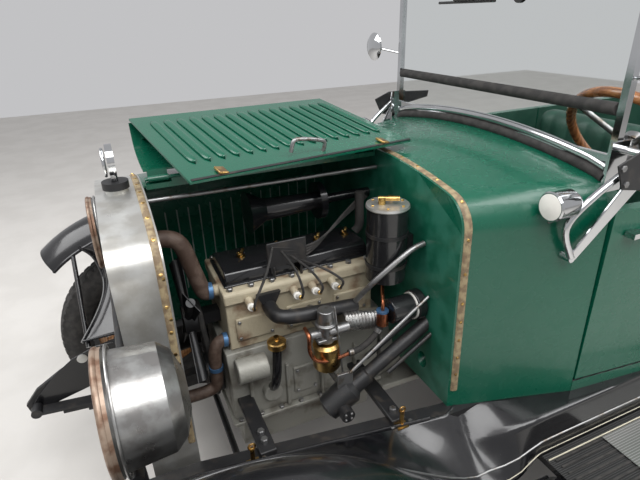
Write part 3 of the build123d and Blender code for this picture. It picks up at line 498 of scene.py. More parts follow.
# Hoses, pipes and clamps
core_s = 0.0965
top_hose = [(0.236, 0.05, 0.868), (0.212, 0.05, 0.872), (0.196, 0.05, 0.93), (0.172, 0.05, 1.02),
            (0.14, 0.05, 1.045), (core_s, 0.05, 1.046)]
low_hose = [(0.2535, 0.1, 0.735), (0.222, 0.1, 0.728), (0.21, 0.1, 0.69), (0.208, 0.1, 0.62),
            (0.19, 0.1, 0.58), (core_s, 0.1, 0.576)]
hoses = piece("water_hoses", [tube(top_hose, 0.022, 16, 8), tube(low_hose, 0.018, 16, 8)], hose)
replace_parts(hoses, "engine_pipes")


def clamp(place, axis, r, wide=0.012):
    axis = Vector(axis).normalized()
    start = spot(place) - axis * wide / 2
    return lathe(start, axis, [(0, r), (0, r + 0.0022), (wide, r + 0.0022), (wide, r)], 24)


piece("hose_clamps", [
    clamp((0.228, 0.05, 0.869), (1, 0, 0.1), 0.022), clamp((0.11, 0.05, 1.046), forward, 0.022),
    clamp((0.209, 0.1, 0.65), upward, 0.018),
    clamp((0.243, 0.1, 0.735), (1, 0, 0.1), 0.018)], blue_clamp)
inlet = [(0.37, 0.122, 0.826), (0.37, 0.17, 0.826), (0.385, 0.196, 0.826), (0.44, 0.2, 0.818),
         (0.604, 0.19, 0.798)]
inlet_foot = [(0.336, 0.1225, 0.868), (0.37, 0.1225, 0.796), (0.404, 0.1225, 0.868)]
piece("inlet_pipe", [tube(inlet, 0.02, 16), prism(inlet_foot, (0, 0.012, 0))], satin_black, bevel=0.002)
ribs = [(0.547 + 0.005 * k, 0.215, 0.772 - 0.0008 * k) for k in range(23)]
piece("ribbed_pipe", [tube(ribs, 0.03, 20, 1, ridge=0.12)], drum)
starter = (0.262, 0.798)
piece("starter_drum", [
    rod((0.671, *starter), (0.744, *starter), 0.036),
    rod((0.744, *starter), (0.771, *starter), 0.044)], black, bevel=0.003)
piece("drum_band", [clamp((0.742, *starter), forward, 0.037, 0.006)], white)

carb = (0.49, 0.238)
bowl = [(0, 0.012), (0.004, 0.034), (0.01, 0.038), (0.078, 0.038), (0.086, 0.03)]
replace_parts(piece("carburettor_bowl", [lathe((*carb, 0.655), upward, bowl, 32)], brass), "carburettor")
piece("carburettor_nut", [
    bolt((*carb, 0.641), upward, 0.014, 0.015), bolt((*carb, 0.741), upward, 0.012, 0.01)], copper)
dashpot = [(0, 0.03), (0.006, 0.03), (0.006, 0.024), (0.045, 0.022)]
piece("carburettor_body", [
    rod((*carb, 0.745), (*carb, 0.8), 0.023), lathe((*carb, 0.798), upward, dashpot),
    rod((*carb, 0.775), (0.49, 0.121, 0.775), 0.017), block(0.458, 0.522, 0.216, 0.26, 0.752, 0.762),
    rod((0.442, 0.24, 0.775), (0.49, 0.24, 0.775), 0.012),
    rod((0.49, 0.25, 0.78), (0.552, 0.25, 0.78), 0.014)], steel, bevel=0.002)
feed = [(0.43, 0.236, 0.8), (0.428, 0.268, 0.795), (0.428, 0.272, 0.75), (0.442, 0.272, 0.72),
        (0.47, 0.27, 0.703), (0.52, 0.265, 0.697), (0.55, 0.262, 0.699)]
tank_feed = [(0.652, 0.26, 0.8), (0.655, 0.255, 0.83), (0.68, 0.21, 0.848), (0.7, 0.192, 0.862)]
piece("copper_pipes", [
    tube(feed, 0.0055, 10), tube(tank_feed, 0.005, 10),
    rod((0.652, 0.26, 0.762), (0.652, 0.26, 0.802), 0.017),
    lathe((0.76, 0.245, 0.795), rearward, [(0, 0.014), (0.012, 0.014)], 6)], copper)
fuel_line = [(0.545, 0.262, 0.699), (0.58, 0.262, 0.702), (0.615, 0.261, 0.72), (0.64, 0.26, 0.745),
             (0.652, 0.26, 0.764)]
piece("fuel_hose", [tube(fuel_line, 0.009, 12)], rubber)
piece("fuel_clamps", [
    clamp((0.553, 0.262, 0.699), forward, 0.009),
    clamp((0.64, 0.26, 0.745), (-0.6, 0, 1), 0.01)], steel)
piece("fuel_clamp_blue", [clamp((0.652, 0.259, 0.803), upward, 0.015, 0.008)], blue_clamp)
heater_pipe = [(firewall_s, 0.262, 0.985), (0.735, 0.262, 0.975), (0.69, 0.258, 0.945), (0.64, 0.245, 0.9),
               (0.615, 0.225, 0.86), (0.6, 0.2, 0.818)]
piece("grey_pipe", [tube(heater_pipe, 0.008, 12)], steel)
long_rod = [(0.531, 0.3, 0.664), (0.61, 0.3, 0.722), (0.684, 0.3, 0.777), (firewall_s, 0.3, 0.84)]
thin_rod = [(0.505, 0.262, 0.862), (0.52, 0.262, 0.71), (0.534, 0.262, 0.575)]
piece("throttle_rods", [
    tube(long_rod, 0.005, 8), tube(thin_rod, 0.0028, 8, 2),
    block(0.494, 0.54, 0.292, 0.3, 0.585, 0.667),
    rod((0.517, 0.17, 0.6), (0.517, 0.31, 0.6), 0.008)], steel, bevel=0.0015)
piece("stay_rod", [rod((core_s, 0, 1.134), (firewall_s, 0, 1.128), 0.006)], steel)
drop_hose = [(0.716, 0, 1.058), (0.717, 0.0, 1.0), (0.716, 0, 0.95), (0.7, 0.0, 0.93)]
piece("upright_hose", [tube(drop_hose, 0.014, 14)], rubber)
filler = [(0.35, 0.166, 0.58), (0.352, 0.185, 0.6), (0.356, 0.196, 0.64), (0.36, 0.198, 0.7),
          (0.362, 0.198, 0.742)]
piece("filler_tube", [tube(filler, 0.013, 14)], black)
cap = [(0, 0.026), (0.016, 0.026), (0.018, 0.022), (0.02, 0.022), (0.024, 0.008), (0.032, 0.008)]
piece("filler_cap", [lathe((0.362, 0.198, 0.74), upward, cap, 28)], brass)

# Fan and belt
blades = []
hub = at(0.165, 0, fan_z)
for k in range(4):
    a = math.radians(45 + 90 * k)
    out, side = Vector((0, math.cos(a), math.sin(a))), Vector((0, -math.sin(a), math.cos(a)))
    lean = side * math.cos(0.5) + Vector((math.sin(0.5), 0, 0))
    blades.append(prism([
        hub + out * 0.045 - lean * 0.022, hub + out * 0.185 - lean * 0.034,
        hub + out * 0.185 + lean * 0.034, hub + out * 0.045 + lean * 0.022], (-0.003, 0, 0)))
piece("fan_blades", blades, satin_black, bevel=0.001)


def half_turn(s, z, r, first):
    angles = [math.pi * k / 8 for k in range(first, first + 9)]
    return [(s, r * math.cos(a), z + r * math.sin(a)) for a in angles]


belt = half_turn(0.195, fan_z, 0.045, 0) + half_turn(0.212, 0.56, 0.064, 8)
piece("fan_belt", [tube(belt, 0.008, 8, 1, True)], rubber)

# Exhaust, fuel tank and the tank on the firewall
pipe_y = -0.25
down_pipe = [(0.645, -0.16, 0.825), (0.7, -0.19, 0.8), (0.725, -0.225, 0.7), (0.735, pipe_y, 0.55),
             (0.8, pipe_y, 0.43), (0.9, pipe_y, 0.398), (1.5, pipe_y, 0.395)]
piece("exhaust_manifold", [block(0.29, 0.665, -0.172, -0.121, 0.803, 0.846), tube(down_pipe, 0.024, 16)],
      iron, bevel=0.004)
tail_rows = ((1.96, 0.395), (2.6, 0.395), (2.7, 0.47), (2.78, 0.486), (2.86, 0.47), (2.93, 0.38),
             (3.0, 0.347), (3.22, 0.343))
muffler = [(0, 0.024), (0.03, 0.046), (0.43, 0.046), (0.46, 0.02)]
piece("silencer", [
    lathe((1.5, pipe_y, 0.395), rearward, muffler, 32),
    tube([(s, pipe_y, z) for s, z in tail_rows], 0.02, 14)], satin_black)
barrel = [(0, 0.06), (0.004, 0.078), (0.656, 0.078), (0.66, 0.06)]
tank_straps = [block(s - 0.012, s + 0.012, -0.4, 0.4, 0.534, 0.546) for s in (3.03, 3.12)]
piece("fuel_tank", [lathe((3.075, -0.33, 0.455), leftward, barrel, 36), *tank_straps], satin_black)
tank_s, tank_y, lid_z = 0.7, 0.19, 1.087
lid = [(0, 0.058), (0.003, 0.06), (0.009, 0.058), (0.01, 0.0)]
piece("tank_lid", [lathe((tank_s, tank_y, 1.078), upward, lid, 40)], shell)
bands = [clamp((tank_s, tank_y, z), upward, 0.0565, 0.01) for z in (0.915, 1.005)]
piece("tank_bands", bands, satin_black)
lid_bolts = [(tank_s + 0.046 * math.cos(a), tank_y + 0.046 * math.sin(a), lid_z)
             for a in [math.pi * k / 3 for k in range(6)]]
piece("tank_unions", [
    rod((0.684, 0.186, lid_z), (0.684, 0.186, 1.106), 0.01),
    rod((0.676, 0.18, 1.102), (0.726, 0.206, 1.102), 0.007),
    rod((0.722, 0.168, lid_z), (0.722, 0.168, 1.098), 0.009),
    *bolts(lid_bolts, upward, 0.004, 0.004)], brass)
strip_rivets = [(0.103, 0.288, z) for z in (0.6, 0.72, 0.84, 0.96, 1.06)]
piece("strip_rivets", both(*bolts(strip_rivets, leftward, 0.004, 0.002)), brass)

# Bonnet: louvres with painted shade and painted daylight in their gaps, handles, keepers and foot lips
joint = {j["name"]: j for j in frame["record"]["behaviour"]["joints"]}


def whole_turn(name):
    # a joint's travel from rest to its maximum
    j = joint[name]
    pivot = Vector(j["pos_m"])
    turn = Matrix.Rotation(math.radians(j["range_deg"][1]), 4, Vector(j["axis"]))
    return Matrix.Translation(pivot) @ turn @ Matrix.Translation(-pivot)


# The left side's fittings are laid out on the closed bonnet, then moved to where the panel lies open
side_place = (whole_turn("bonnet_top_fold") @ whole_turn("bonnet_side_fold")).inverted()
louvre_z0, louvre_z1 = 0.675, 1.01
louvre_s = [0.165 + 0.0375 * k for k in range(16)]
louvre_bow = [(-0.01, 0), (-0.006, 0.004), (0, 0.0075), (0.005, 0.009), (0.0075, 0.0085), (0.008, 0.0035)]
handle_s, handle_z = 0.44, 0.622
keeper_z = 0.612
lip_z, lip_high = 0.588, 0.009
lip_s = [0.122 + 0.0645 * k for k in range(11)]


def off_panel(side, s, z, out=0.0004, ds=0.0, dz=0.0):
    # a point beside a bonnet side, whose half-width is taken at (s, z)
    return at(s + ds, side * (skin_y("bonnet_right", s, z, -1) + out), z + dz)


def louvre(s, side):
    def place(u, v):
        rise = (1 - abs(2 * u - 1) ** 10) ** 0.5
        ds, out = louvre_bow[round(v * 5)]
        return off_panel(side, s, mix(louvre_z0, louvre_z1, u), 0.0003 + out * rise, ds * rise)
    return grid(place, 16, 5)


def gap_outline(far, inset):
    # the opening behind a louvre, as rows of a step along the car and a height
    z0, z1 = louvre_z0 + inset, louvre_z1 - inset
    return [(0.0076, z0), (far, z0 + 0.004), (far, z1 - 0.004), (0.0076, z1)]


# a near-black sheet of painted shade in the opening behind a louvre
def slit(s, side):
    return prism([off_panel(side, s, z, ds=d) for d, z in gap_outline(0.0125, 0.008)], (0, side * 0.0006, 0))


def bail(side):
    rows = ((-0.05, 0.003), (-0.048, 0.033), (-0.02, 0.039), (0.02, 0.039), (0.048, 0.033), (0.05, 0.003))
    return tube([off_panel(side, handle_s, handle_z, out, d) for d, out in rows], 0.0055, 12)


def keeper(s, side):
    rows = ((-0.012, -0.02), (0.012, -0.02), (0.012, 0.016), (-0.012, 0.016))
    return prism([off_panel(side, s, keeper_z, ds=d, dz=h) for d, h in rows], (0, side * 0.007, 0))


def foot_lip(side):
    lip = []
    for s0, s1 in zip(lip_s, lip_s[1:]):
        rows = ((s0, 0), (s1, 0), (s1, lip_high), (s0, lip_high))
        lip.append(prism([off_panel(side, s, lip_z, dz=h) for s, h in rows], (0, side * 0.002, 0)))
    return lip


for side, word in sides:
    moved = {"body": "bonnet_side", "place": side_place} if word == "left" else {}
    piece(f"louvres_{word}", [louvre(s, side) for s in louvre_s], green, thick=0.001, sharp=50, **moved)
    # painted shade: dark sheets in the louvre openings
    piece(f"louvre_shade_sheets_{word}", [slit(s, side) for s in louvre_s], slit_painted_shade, **moved)
    piece(f"bail_handle_{word}", [bail(side)], steel, **moved)
    piece(f"keepers_{word}", [keeper(s, side) for s in (0.2, 0.68)], brass, bevel=0.002, **moved)
    piece(f"foot_lip_{word}", foot_lip(side), satin_black, **moved)

catches, catch_bolts = [], []
for s, y in ((0.227, 0.372), (0.62, 0.425)):
    catches += [block(s - 0.016, s + 0.016, y - 0.012, y + 0.012, 0.5456, 0.553),
                rod((s, y, 0.553), (s, y, 0.6), 0.006), ring((s, y, 0.606), leftward, 0.008, 0.003, 20, 8)]
    catch_bolts += bolts([(s + d, y, 0.553) for d in (-0.028, 0.028)], upward, 0.006, 0.005)
piece("bonnet_catches", both(*catches), brass)
piece("catch_bolts", both(*catch_bolts), steel)

gaps = []
for s in louvre_s:
    row = [touch("bonnet_right", (s + d, 0, z), (0, -1, 0)) for d, z in gap_outline(0.0118, 0.02)]
    gaps.append(prism([p + Vector((0, 0.0005, 0)) for p in row], (0, 0.0005, 0)))
piece("louvre_daylight_right", gaps, daylight)

# Radiator cap's gauge
gauge_s, gauge_z = 0.044, 1.245
bezels = [ring((gauge_s + d, 0, gauge_z), forward, 0.031, 0.004) for d in (-0.01, 0.01)]
piece("gauge_bezel", bezels, chrome)
face = [(0, 0.029), (0.001, 0.029)]
piece("gauge_faces", [lathe((gauge_s - d * 0.0102, 0, gauge_z), (d, 0, 0), face, 40) for d in (1, -1)], white)
piece("gauge_tubes", [
    rod((gauge_s + d, 0, gauge_z - 0.024), (gauge_s + d, 0, gauge_z + 0.024), 0.0015)
    for d in (-0.0125, 0.0125)], red_glass)

# Lamps
bulb = [(0, 0.011), (0.0025, 0.01), (0.004, 0.006), (0.0045, 0.0)]
for side, word in sides:
    y = side * lamp_y
    piece(f"lamp_rim_{word}", [ring((-0.046, y, lamp_z), forward, 0.1165, 0.0065, 72, 12)], rim_copper)
    piece(f"lamp_bead_{word}", [ring((-0.026, y, lamp_z), forward, 0.1205, 0.003, 72, 8)], drum)
    piece(f"lamp_bulb_{word}", [lathe((-0.0375, y, lamp_z), forward, bulb)], white)

# Windscreen: seal under its foot rail, wiper, mirrors, brackets and small lamps on the scuttle
screen_s = 1.15
top_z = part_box("windscreen_frame")[1].z


def roof_z(s, y):
    where = touch("cowl", (s, y, 2), (0, 0, -1))
    return where.z if where else 1.2


def on_side(side, *rows):
    # (s, y, z) rows of the left side, or their twins on the right
    return [(s, side * y, z) for s, y, z in rows]


seal_row = [at(screen_s, y, roof_z(screen_s, y) + 0.01) for y in [-0.46 + 0.046 * k for k in range(21)]]
piece("screen_seal", [tube(seal_row, 0.016, 12, 2)], rubber)
piece("screen_foot_rail", [tube([p + Vector((0, 0, 0.026)) for p in seal_row], 0.012, 12, 2)], chrome)
piece("screen_bar_rubber", [rod((screen_s, -0.455, 1.33), (screen_s, 0.455, 1.33), 0.0155)], rubber)
wiper_arm = [(1.13, 0.12, top_z - 0.03), (1.13, 0.02, top_z - 0.034), (1.134, -0.16, top_z - 0.036)]
wiper_blade = [(1.139, 0.02, top_z - 0.042), (1.139, -0.24, top_z - 0.042)]
piece("wiper", [rod((1.139, 0.12, top_z - 0.028), (1.128, 0.12, top_z - 0.028), 0.022),
                tube(wiper_arm, 0.003, 8), tube(wiper_blade, 0.004, 8, 1)], satin_black)
mirror_bowl = [(0, 0.01), (0.006, 0.04), (0.016, 0.052), (0.02, 0.052)]
mirror_disc = [(0, 0.048), (0.0008, 0.048)]
stay_rows = ((1.075, 1.225), (1.105, 1.165), (1.19, 1.15), (1.215, 1.195), (1.33, 1.215), (1.335, 1.24),
             (1.14, 1.25))
scuttle_body = [(0, 0.033), (0.004, 0.036), (0.012, 0.034), (0.06, 0.034), (0.082, 0.02), (0.086, 0.008)]
scuttle_glass = [(0, 0.004), (0.0015, 0.02), (0.004, 0.031), (0.005, 0.031)]
for side, word in sides:
    arm = on_side(side, (screen_s, 0.478, 1.4), (1.12, 0.53, 1.41), (1.09, 0.58, 1.42))
    piece(f"mirror_arm_{word}", [tube(arm, 0.005, 10)], chrome)
    mirror_y = side * 0.595
    piece(f"mirror_{word}", [lathe((1.083, mirror_y, 1.42), rearward, mirror_bowl, 40)], chrome)
    piece(f"mirror_face_{word}", [lathe((1.1032, mirror_y, 1.42), rearward, mirror_disc, 40)], silver)
    flat = on_side(side, (1.016, 0.505, 1.0), (1.034, 0.505, 0.982), (1.176, 0.531, 1.165),
                   (1.176, 0.531, 1.25), (1.15, 0.531, 1.25), (1.138, 0.528, 1.186))
    bow = on_side(side, (1.026, 0.508, 0.995), (1.0, 0.5, 1.075), (1.05, 0.512, 1.145),
                  (1.15, 0.526, 1.215))
    piece(f"screen_bracket_{word}", [
        prism(flat, (0, side * 0.007, 0)),
        rod(*on_side(side, (1.158, 0.47, 1.24), (1.158, 0.536, 1.24)), 0.009),
        rod(*on_side(side, (1.026, 0.48, 0.992), (1.026, 0.514, 0.992)), 0.01),
        tube(bow, 0.009, 12)], chrome, bevel=0.002)
    stay = [(s, side * 0.536, z) for s, z in stay_rows]
    piece(f"hood_stay_{word}", [prism(stay, (0, side * 0.005, 0))], satin_black, bevel=0.0015)
    stay_bolts = on_side(side, (1.092, 0.541, 1.218), (1.112, 0.541, 1.178))
    piece(f"hood_stay_bolts_{word}", bolts(stay_bolts, (0, side, 0), 0.008, 0.005), steel)
    y, z = side * 0.49, 1.135
    foot = rod(*on_side(side, (0.985, 0.49, 1.11), (0.985, 0.452, 1.075)), 0.009)
    piece(f"scuttle_lamp_{word}", [lathe((0.945, y, z), rearward, scuttle_body, 36), foot], chrome)
    piece(f"scuttle_lens_{word}", [lathe((0.9405, y, z), rearward, scuttle_glass, 36)], white)

# Steering wheel's rim and boss
helm_low, helm_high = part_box("steering_wheel")
helm = Vector(joint["steering_turn"]["pos_m"])
helm_axis = Vector(joint["steering_turn"]["axis"]).normalized()
rim_r = (helm_high.y - helm_low.y) / 2 - 0.014
piece("helm_rim", [ring(helm, helm_axis, rim_r, 0.0152, 90, 14)], wood, "helm")
boss = [(0, 0.036), (0.022, 0.034), (0.03, 0.024), (0.034, 0.0)]
piece("helm_boss", [lathe(helm, helm_axis, boss, 30)], steel, "helm")


# Lacing strips with rivets round the scuttle's and the radiator's rear edges
def arch_points(node, s, foot):
    # points with outward directions over a CAD node at a station, from its left foot to the right one
    spring_z = 0.85
    flanks, over = [], []
    for side in (1, -1):
        rows = [(skin_y(node, s, z, side), z) for z in [mix(foot, spring_z, k / 9) for k in range(9)]]
        flanks.append([(at(s, side * y, z), Vector((0, side, 0))) for y, z in rows if y is not None])
    for k in range(145):
        a = math.pi / 2 - math.pi * k / 144
        out = Vector((0, math.sin(a), math.cos(a)))
        where = touch(node, at(s, 0, spring_z) + out, -out)
        if where:
            over.append((where, out))
    return flanks[0] + over + flanks[1][::-1]


def lacing(name, node, s0, s1, foot):
    front, back = arch_points(node, s0, foot), arch_points(node, s1, foot)
    count = min(len(front), len(back)) - 1

    def place(u, v):
        k = round(u * count)
        p, out = front[k]
        return p.lerp(back[k][0], v) + out * (0.0032 if 0.1 < v < 0.9 else 0.0004)
    piece(name, [grid(place, count, 5)], ochre, sharp=50)
    heads = []
    for k in (*range(2, 9, 2), *range(12, count - 9, 9), *range(count - 7, count, 2)):
        p, out = front[k]
        heads.append(bolt(p.lerp(back[k][0], 0.5) + out * 0.0024, out, 0.0045, 0.0022))
    piece(f"{name}_rivets", heads, brass)


lacing("scuttle_strip", "cowl", 0.7795, 0.7985, 0.6)
lacing("radiator_strip", "radiator_shell", 0.0905, 0.107, 0.6)

# Front doors: pleated lining, with piping above it
lining_s0, lining_s1 = 1.15, 1.7
for side, word in sides:
    body, node = f"door_front_{word[0]}", f"door_front_{word}"

    def inside(s, z):
        where = touch(node, (s, 0, z), (0, side, 0))
        return where.y if where else None

    def trim(u, v):
        s, z = mix(lining_s0, lining_s1, u), mix(0.62, 1.07, v)
        y = inside(s, z)
        if y is None:
            y = inside(mix(lining_s0, lining_s1, 0.3), 0.95)
        pleat = 0.008 * abs(math.sin(math.pi * u * 9)) ** 0.6
        edge = min(1, 10 * min(u, 1 - u, v, 1 - v) + 0.05)
        return at(s, y - side * (0.002 + pleat * edge), z)
    lining = piece(f"door_trim_front_{word}", [grid(trim, 72, 8)], leather, body, thick=0.002, sharp=60)
    top = [(s, side * (abs(inside(s, 1.08) or 0.55) - 0.004), 1.078)
           for s in [mix(lining_s0, lining_s1, k / 8) for k in range(9)]]
    piece(f"door_piping_front_{word}", [tube(top, 0.005, 10, 2)], piping, body)


# Leather and rubber linings, and bright door handles, on the solids' own faces
def wall_y(p):
    return along(((1.128, 0.521), (1.76, 0.59), (2.42, 0.598), (2.96, 0.59), (3.18, 0.47)), p[0])


def cabin_face(p, n):
    return n.y * p[1] < -0.3 * abs(p[1]) and abs(p[1]) < wall_y(p) - 0.02


paint("body_tub", green, (leather, cabin_face),
      (leather, lambda p, n: n.x > 0.7 and 3.0 < p[0] < 3.17),
      (mat_rubber, lambda p, n: n.z > 0.9 and p[2] < 0.62),
      (black, lambda p, n: p[2] < 0.548))
for word in ("front_left", "front_right", "rear_left", "rear_right"):
    paint(f"door_{word}", green, (leather, cabin_face),
          (chrome, lambda p, n: abs(p[1]) > wall_y(p) + 0.006 and 0.9 < p[2] < 1.08))


# Seats: crowned and pleated cushions and backs, with piping
def cushion(name, s0, s1, half_y, z0, z1, face):
    # a box with rounded edges, whose upper or front face swells between its pleats
    size = Vector(((s1 - s0) / 2, half_y, (z1 - z0) / 2))
    mid = at((s0 + s1) / 2, 0, (z0 + z1) / 2)
    r, crown = 0.05, 0.03
    k, pleats, counts = (2, 9, (14, 90, 10)) if face == "up" else (0, 11, (8, 90, 16))
    grids = []
    for axis in range(3):
        b, c = [n for n in range(3) if n != axis]
        for sign in (-1, 1):
            def place(u, v):
                q = Vector((0, 0, 0))
                q[axis], q[b], q[c] = sign * size[axis], (2 * u - 1) * size[b], (2 * v - 1) * size[c]
                inner = Vector([max(r - size[n], min(size[n] - r, q[n])) for n in range(3)])
                d = q - inner
                if d.length > 1e-6:
                    q = inner + d.normalized() * r
                if q[k] > 0:
                    wide, other = q[1] / size[1], q[2 - k] / size[2 - k]
                    swell = max(0, (1 - wide ** 4) * (1 - other ** 4))
                    flute = abs(math.sin(math.pi * pleats * (wide + 1) / 2)) ** 0.5
                    q[k] += crown * swell * 0.35 - 0.014 * (1 - flute) * min(1, 3 * swell) - crown * 0.45
                return mid + q
            grids.append(grid(place, counts[b], counts[c]))
    return piece(name, grids, leather, sharp=70)


seats = [cushion("front_cushion", 1.52, 1.916, 0.498, 0.7153, 0.85, "up"),
         cushion("front_backrest", 1.92, 2.049, 0.498, 0.735, 1.11, "front"),
         cushion("rear_cushion", 2.52, 2.984, 0.498, 0.7353, 0.87, "up"),
         cushion("rear_backrest", 2.988, 3.135, 0.44, 0.77, 1.13, "front")]
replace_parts(seats[0], "seats")
cords = []
for s, z in ((1.527, 0.832), (2.527, 0.852)):
    ends = [(s + 0.008, y, z - 0.004) for y in (-0.47, 0.47)]
    cords.append(tube([ends[0], (s, -0.44, z), (s, 0.44, z), ends[1]], 0.005, 10))
piece("seat_piping", cords, piping)

# Folded hood: canvas bundle with three straps, and its irons
bundle = [(3.146, 1.104), (3.25, 1.103), (3.36, 1.104), (3.45, 1.106), (3.487, 1.125), (3.494, 1.15),
          (3.48, 1.172), (3.462, 1.165), (3.47, 1.188), (3.44, 1.206), (3.38, 1.214), (3.345, 1.205),
          (3.35, 1.222), (3.29, 1.238), (3.23, 1.246), (3.19, 1.236), (3.195, 1.218), (3.165, 1.205),
          (3.148, 1.16)]
bundle_s, bundle_z, bundle_y = 3.3, 1.165, 0.555
straps = ((-0.4, "right"), (0.0, "middle"), (0.4, "left"))


def bundle_path(k):
    return smooth_path([Vector((s, z, 0)) for s, z in bundle], k, True)


def drawn_in(p, k):
    # station and height of a point of the outline, moved towards the bundle's middle
    return bundle_s + (p.x - bundle_s) * k, bundle_z + (p.y - bundle_z) * k


def hood_ring(y):
    # the outline at one y: narrower at the ends and under a strap, and sagging a little
    shrink = 1 - 0.55 * max(0, abs(y) / bundle_y - 0.93) / 0.07
    tight = 0.93 if min(abs(y - k) for k, word in straps) < 0.02 else 1.0
    out = []
    for p in bundle_path(4):
        sag = 0.0035 * math.sin(23 * y + 35 * p.x) + 0.002 * math.sin(61 * y + 40 * p.y)
        s, z = drawn_in(p, shrink * tight)
        out.append(at(s, y, max(1.1022, z + (sag if p.y > 1.12 else 0))))
    return out


rings = [hood_ring(bundle_y * (k / 46 - 1)) for k in range(93)]
hood = piece("hood_bundle", [skin_of(rings, len(rings[0]))], canvas, sharp=70)
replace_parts(hood, "folded_hood")
for y, word in straps:
    loop = [drawn_in(p, 0.95) for p in bundle_path(2)]
    edges = [at(s, y + d, z) for s, z in loop for d in (-0.013, 0.013)]
    n = len(edges)
    faces = [(k, (k + 2) % n, (k + 3) % n, k + 1) for k in range(0, n, 2)]
    strap = piece(f"hood_strap_{word}", [(edges, faces)], piping, thick=0.003)
upper_iron = [(2.8, 0.612, 1.085), (2.9, 0.6, 1.125), (3.05, 0.58, 1.17), (3.3, 0.567, 1.195)]
lower_iron = [(2.8, 0.612, 1.085), (2.95, 0.6, 1.11), (3.12, 0.582, 1.14), (3.4, 0.567, 1.15)]
piece("hood_irons", both(
    tube(upper_iron, 0.007, 8, 3), tube(lower_iron, 0.007, 8, 3),
    rod((2.8, 0.59, 1.085), (2.8, 0.622, 1.085), 0.016)), satin_black)

# Tyres with a block tread, valves and hub bolts
tread_half, tyre_r, groove, blocks = 0.046, 0.3598, 0.0055, 64
section = [(-0.03, 0.2475)]
for k in range(37):
    a = math.radians(-128 + 256 * k / 36)
    y, r = 0.059 * math.sin(a), 0.303 + 0.0568 * math.cos(a)
    if abs(y) < tread_half and r > 0.32:
        r = mix(r, tyre_r - 8 * max(abs(y) - 0.02, 0) ** 2, 0.85)
    section.append((y, min(r, tyre_r)))
section.append((0.03, 0.2475))


def tyre_shape(middle):
    # two rings of blocks, half a block apart, with a groove between each and the middle rib
    rings = []
    for j in range(blocks * 4):
        a = 2 * math.pi * j / (blocks * 4)
        row = []
        for y, r in section:
            between = abs(y) >= 0.019 and (j + (2 if y > 0 else 0)) % 4 == 0
            if r > 0.335 and (0.012 < abs(y) < 0.019 or between):
                r -= groove
            row.append(middle + Vector((r * math.cos(a), y, r * math.sin(a))))
        rings.append(row)
    return skin_of(rings, len(section), True)


def middle_of(node):
    low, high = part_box(node)
    return (low + high) / 2


for a in ("front", "rear"):
    for side, hand in sides:
        body, m = f"wheel_{a[0]}{hand[0]}", middle_of(f"tyre_{a}_{hand}")
        tread = piece(f"tread_{a}_{hand}", [tyre_shape(m)], rubber, body, sharp=30)
        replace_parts(tread, f"tyre_{a}_{hand}")
        stem = rod(m + Vector((0.215, 0, 0)), m + Vector((0.246, 0, 0)), 0.004)
        piece(f"valve_{a}_{hand}", [stem], brass, body)
        circle = [m + Vector((0.062 * math.cos(q), side * 0.03, 0.062 * math.sin(q)))
                  for q in [2 * math.pi * k / 12 for k in range(12)]]
        piece(f"hub_bolts_{a}_{hand}", bolts(circle, (0, side, 0), 0.006, 0.012), steel, body)
spare_mid = middle_of("spare_wheel")
verts, faces = tyre_shape(Vector((0, 0, 0)))
quarter = Matrix.Translation(spare_mid) @ Matrix.Rotation(math.pi / 2, 4, "Z")
paint("spare_wheel", rubber, (satin_black, lambda p, n: math.hypot(p[1], p[2] - spare_mid.z) < 0.25))
piece("spare_tread", [([Vector((p.x * 1.0012, p.y * 1.005, p.z * 1.0012)) for p in verts], faces)], rubber,
      place=quarter, sharp=30)

# Fenders: beads along both edges
arch_r, rear_arch_r = 0.53, 0.5
fender_in, fender_out, front_leave = 0.604, 0.812, 132.0
outer_drop, inner_drop = 0.0475, 0.0595
board_top, dive = 0.415, 0.33
fall = math.radians(front_leave - 90)


def on_arch(s_mid, r, angle, y):
    a = math.radians(angle)
    return at(s_mid - r * math.cos(a), y, axle_z + r * math.sin(a))


def fender_line(y, drop):
    # an edge of the front fender: round over the wheel, then down its dive and out on to the board
    line = [on_arch(axle_s, arch_r - drop, 49 + (front_leave - 49) * k / 20, y) for k in range(21)]
    end = line[-1]
    line += [end + Vector((-math.cos(fall), 0, -math.sin(fall))) * dive * k / 4 for k in range(1, 5)]
    leave_z = on_arch(axle_s, arch_r, front_leave, y).z
    bend_r = (leave_z - math.sin(fall) * dive - board_top) / (1 - math.cos(fall)) + drop
    centre = line[-1] + Vector((-math.sin(fall), 0, math.cos(fall))) * bend_r
    turns = [fall * (1 - k / 8) for k in range(1, 9)]
    return line + [centre + Vector((math.sin(q), 0, -math.cos(q))) * bend_r for q in turns]


inner_edge = fender_line(fender_in, inner_drop)
beads = [tube(fender_line(fender_out, outer_drop), 0.0065, 10, 1), tube(inner_edge, 0.0055, 10, 1)]
for y, drop in ((fender_out, outer_drop), (fender_in, inner_drop)):
    arc = [on_arch(axle_s + wheelbase, rear_arch_r - drop, 6 + 164 * k / 40, y) for k in range(41)]
    beads.append(tube(arc, 0.006, 10, 1))
piece("fender_beads", both(*beads), black)

# Aprons: black sheet between the frame, the fenders and the running boards, with a rounded front edge
apron_end, ledge_z = 2.165, 0.4065
front_edge = [(-0.16, 0.351, 0.552), (-0.102, 0.424, 0.603), (-0.066, 0.482, 0.652),
              (-0.059, 0.537, 0.697), (-0.08, 0.588, 0.755), (-0.12, 0.604, 0.795)]
edge_path = smooth_path([Vector(p) for p in front_edge], 6)
inner_heights = [(radiator_x - p.x, p.z) for p in inner_edge]


def rail_y(s):
    return along(((0.1, 0.35), (0.76, 0.445)), s)


def body_y(s):
    return along(((0.778, 0.4165), (1.128, 0.521), (1.76, 0.59), (2.42, 0.598)), s)


def soften(k):
    k = min(max(k, 0), 1)
    return k * k * (3 - 2 * k)


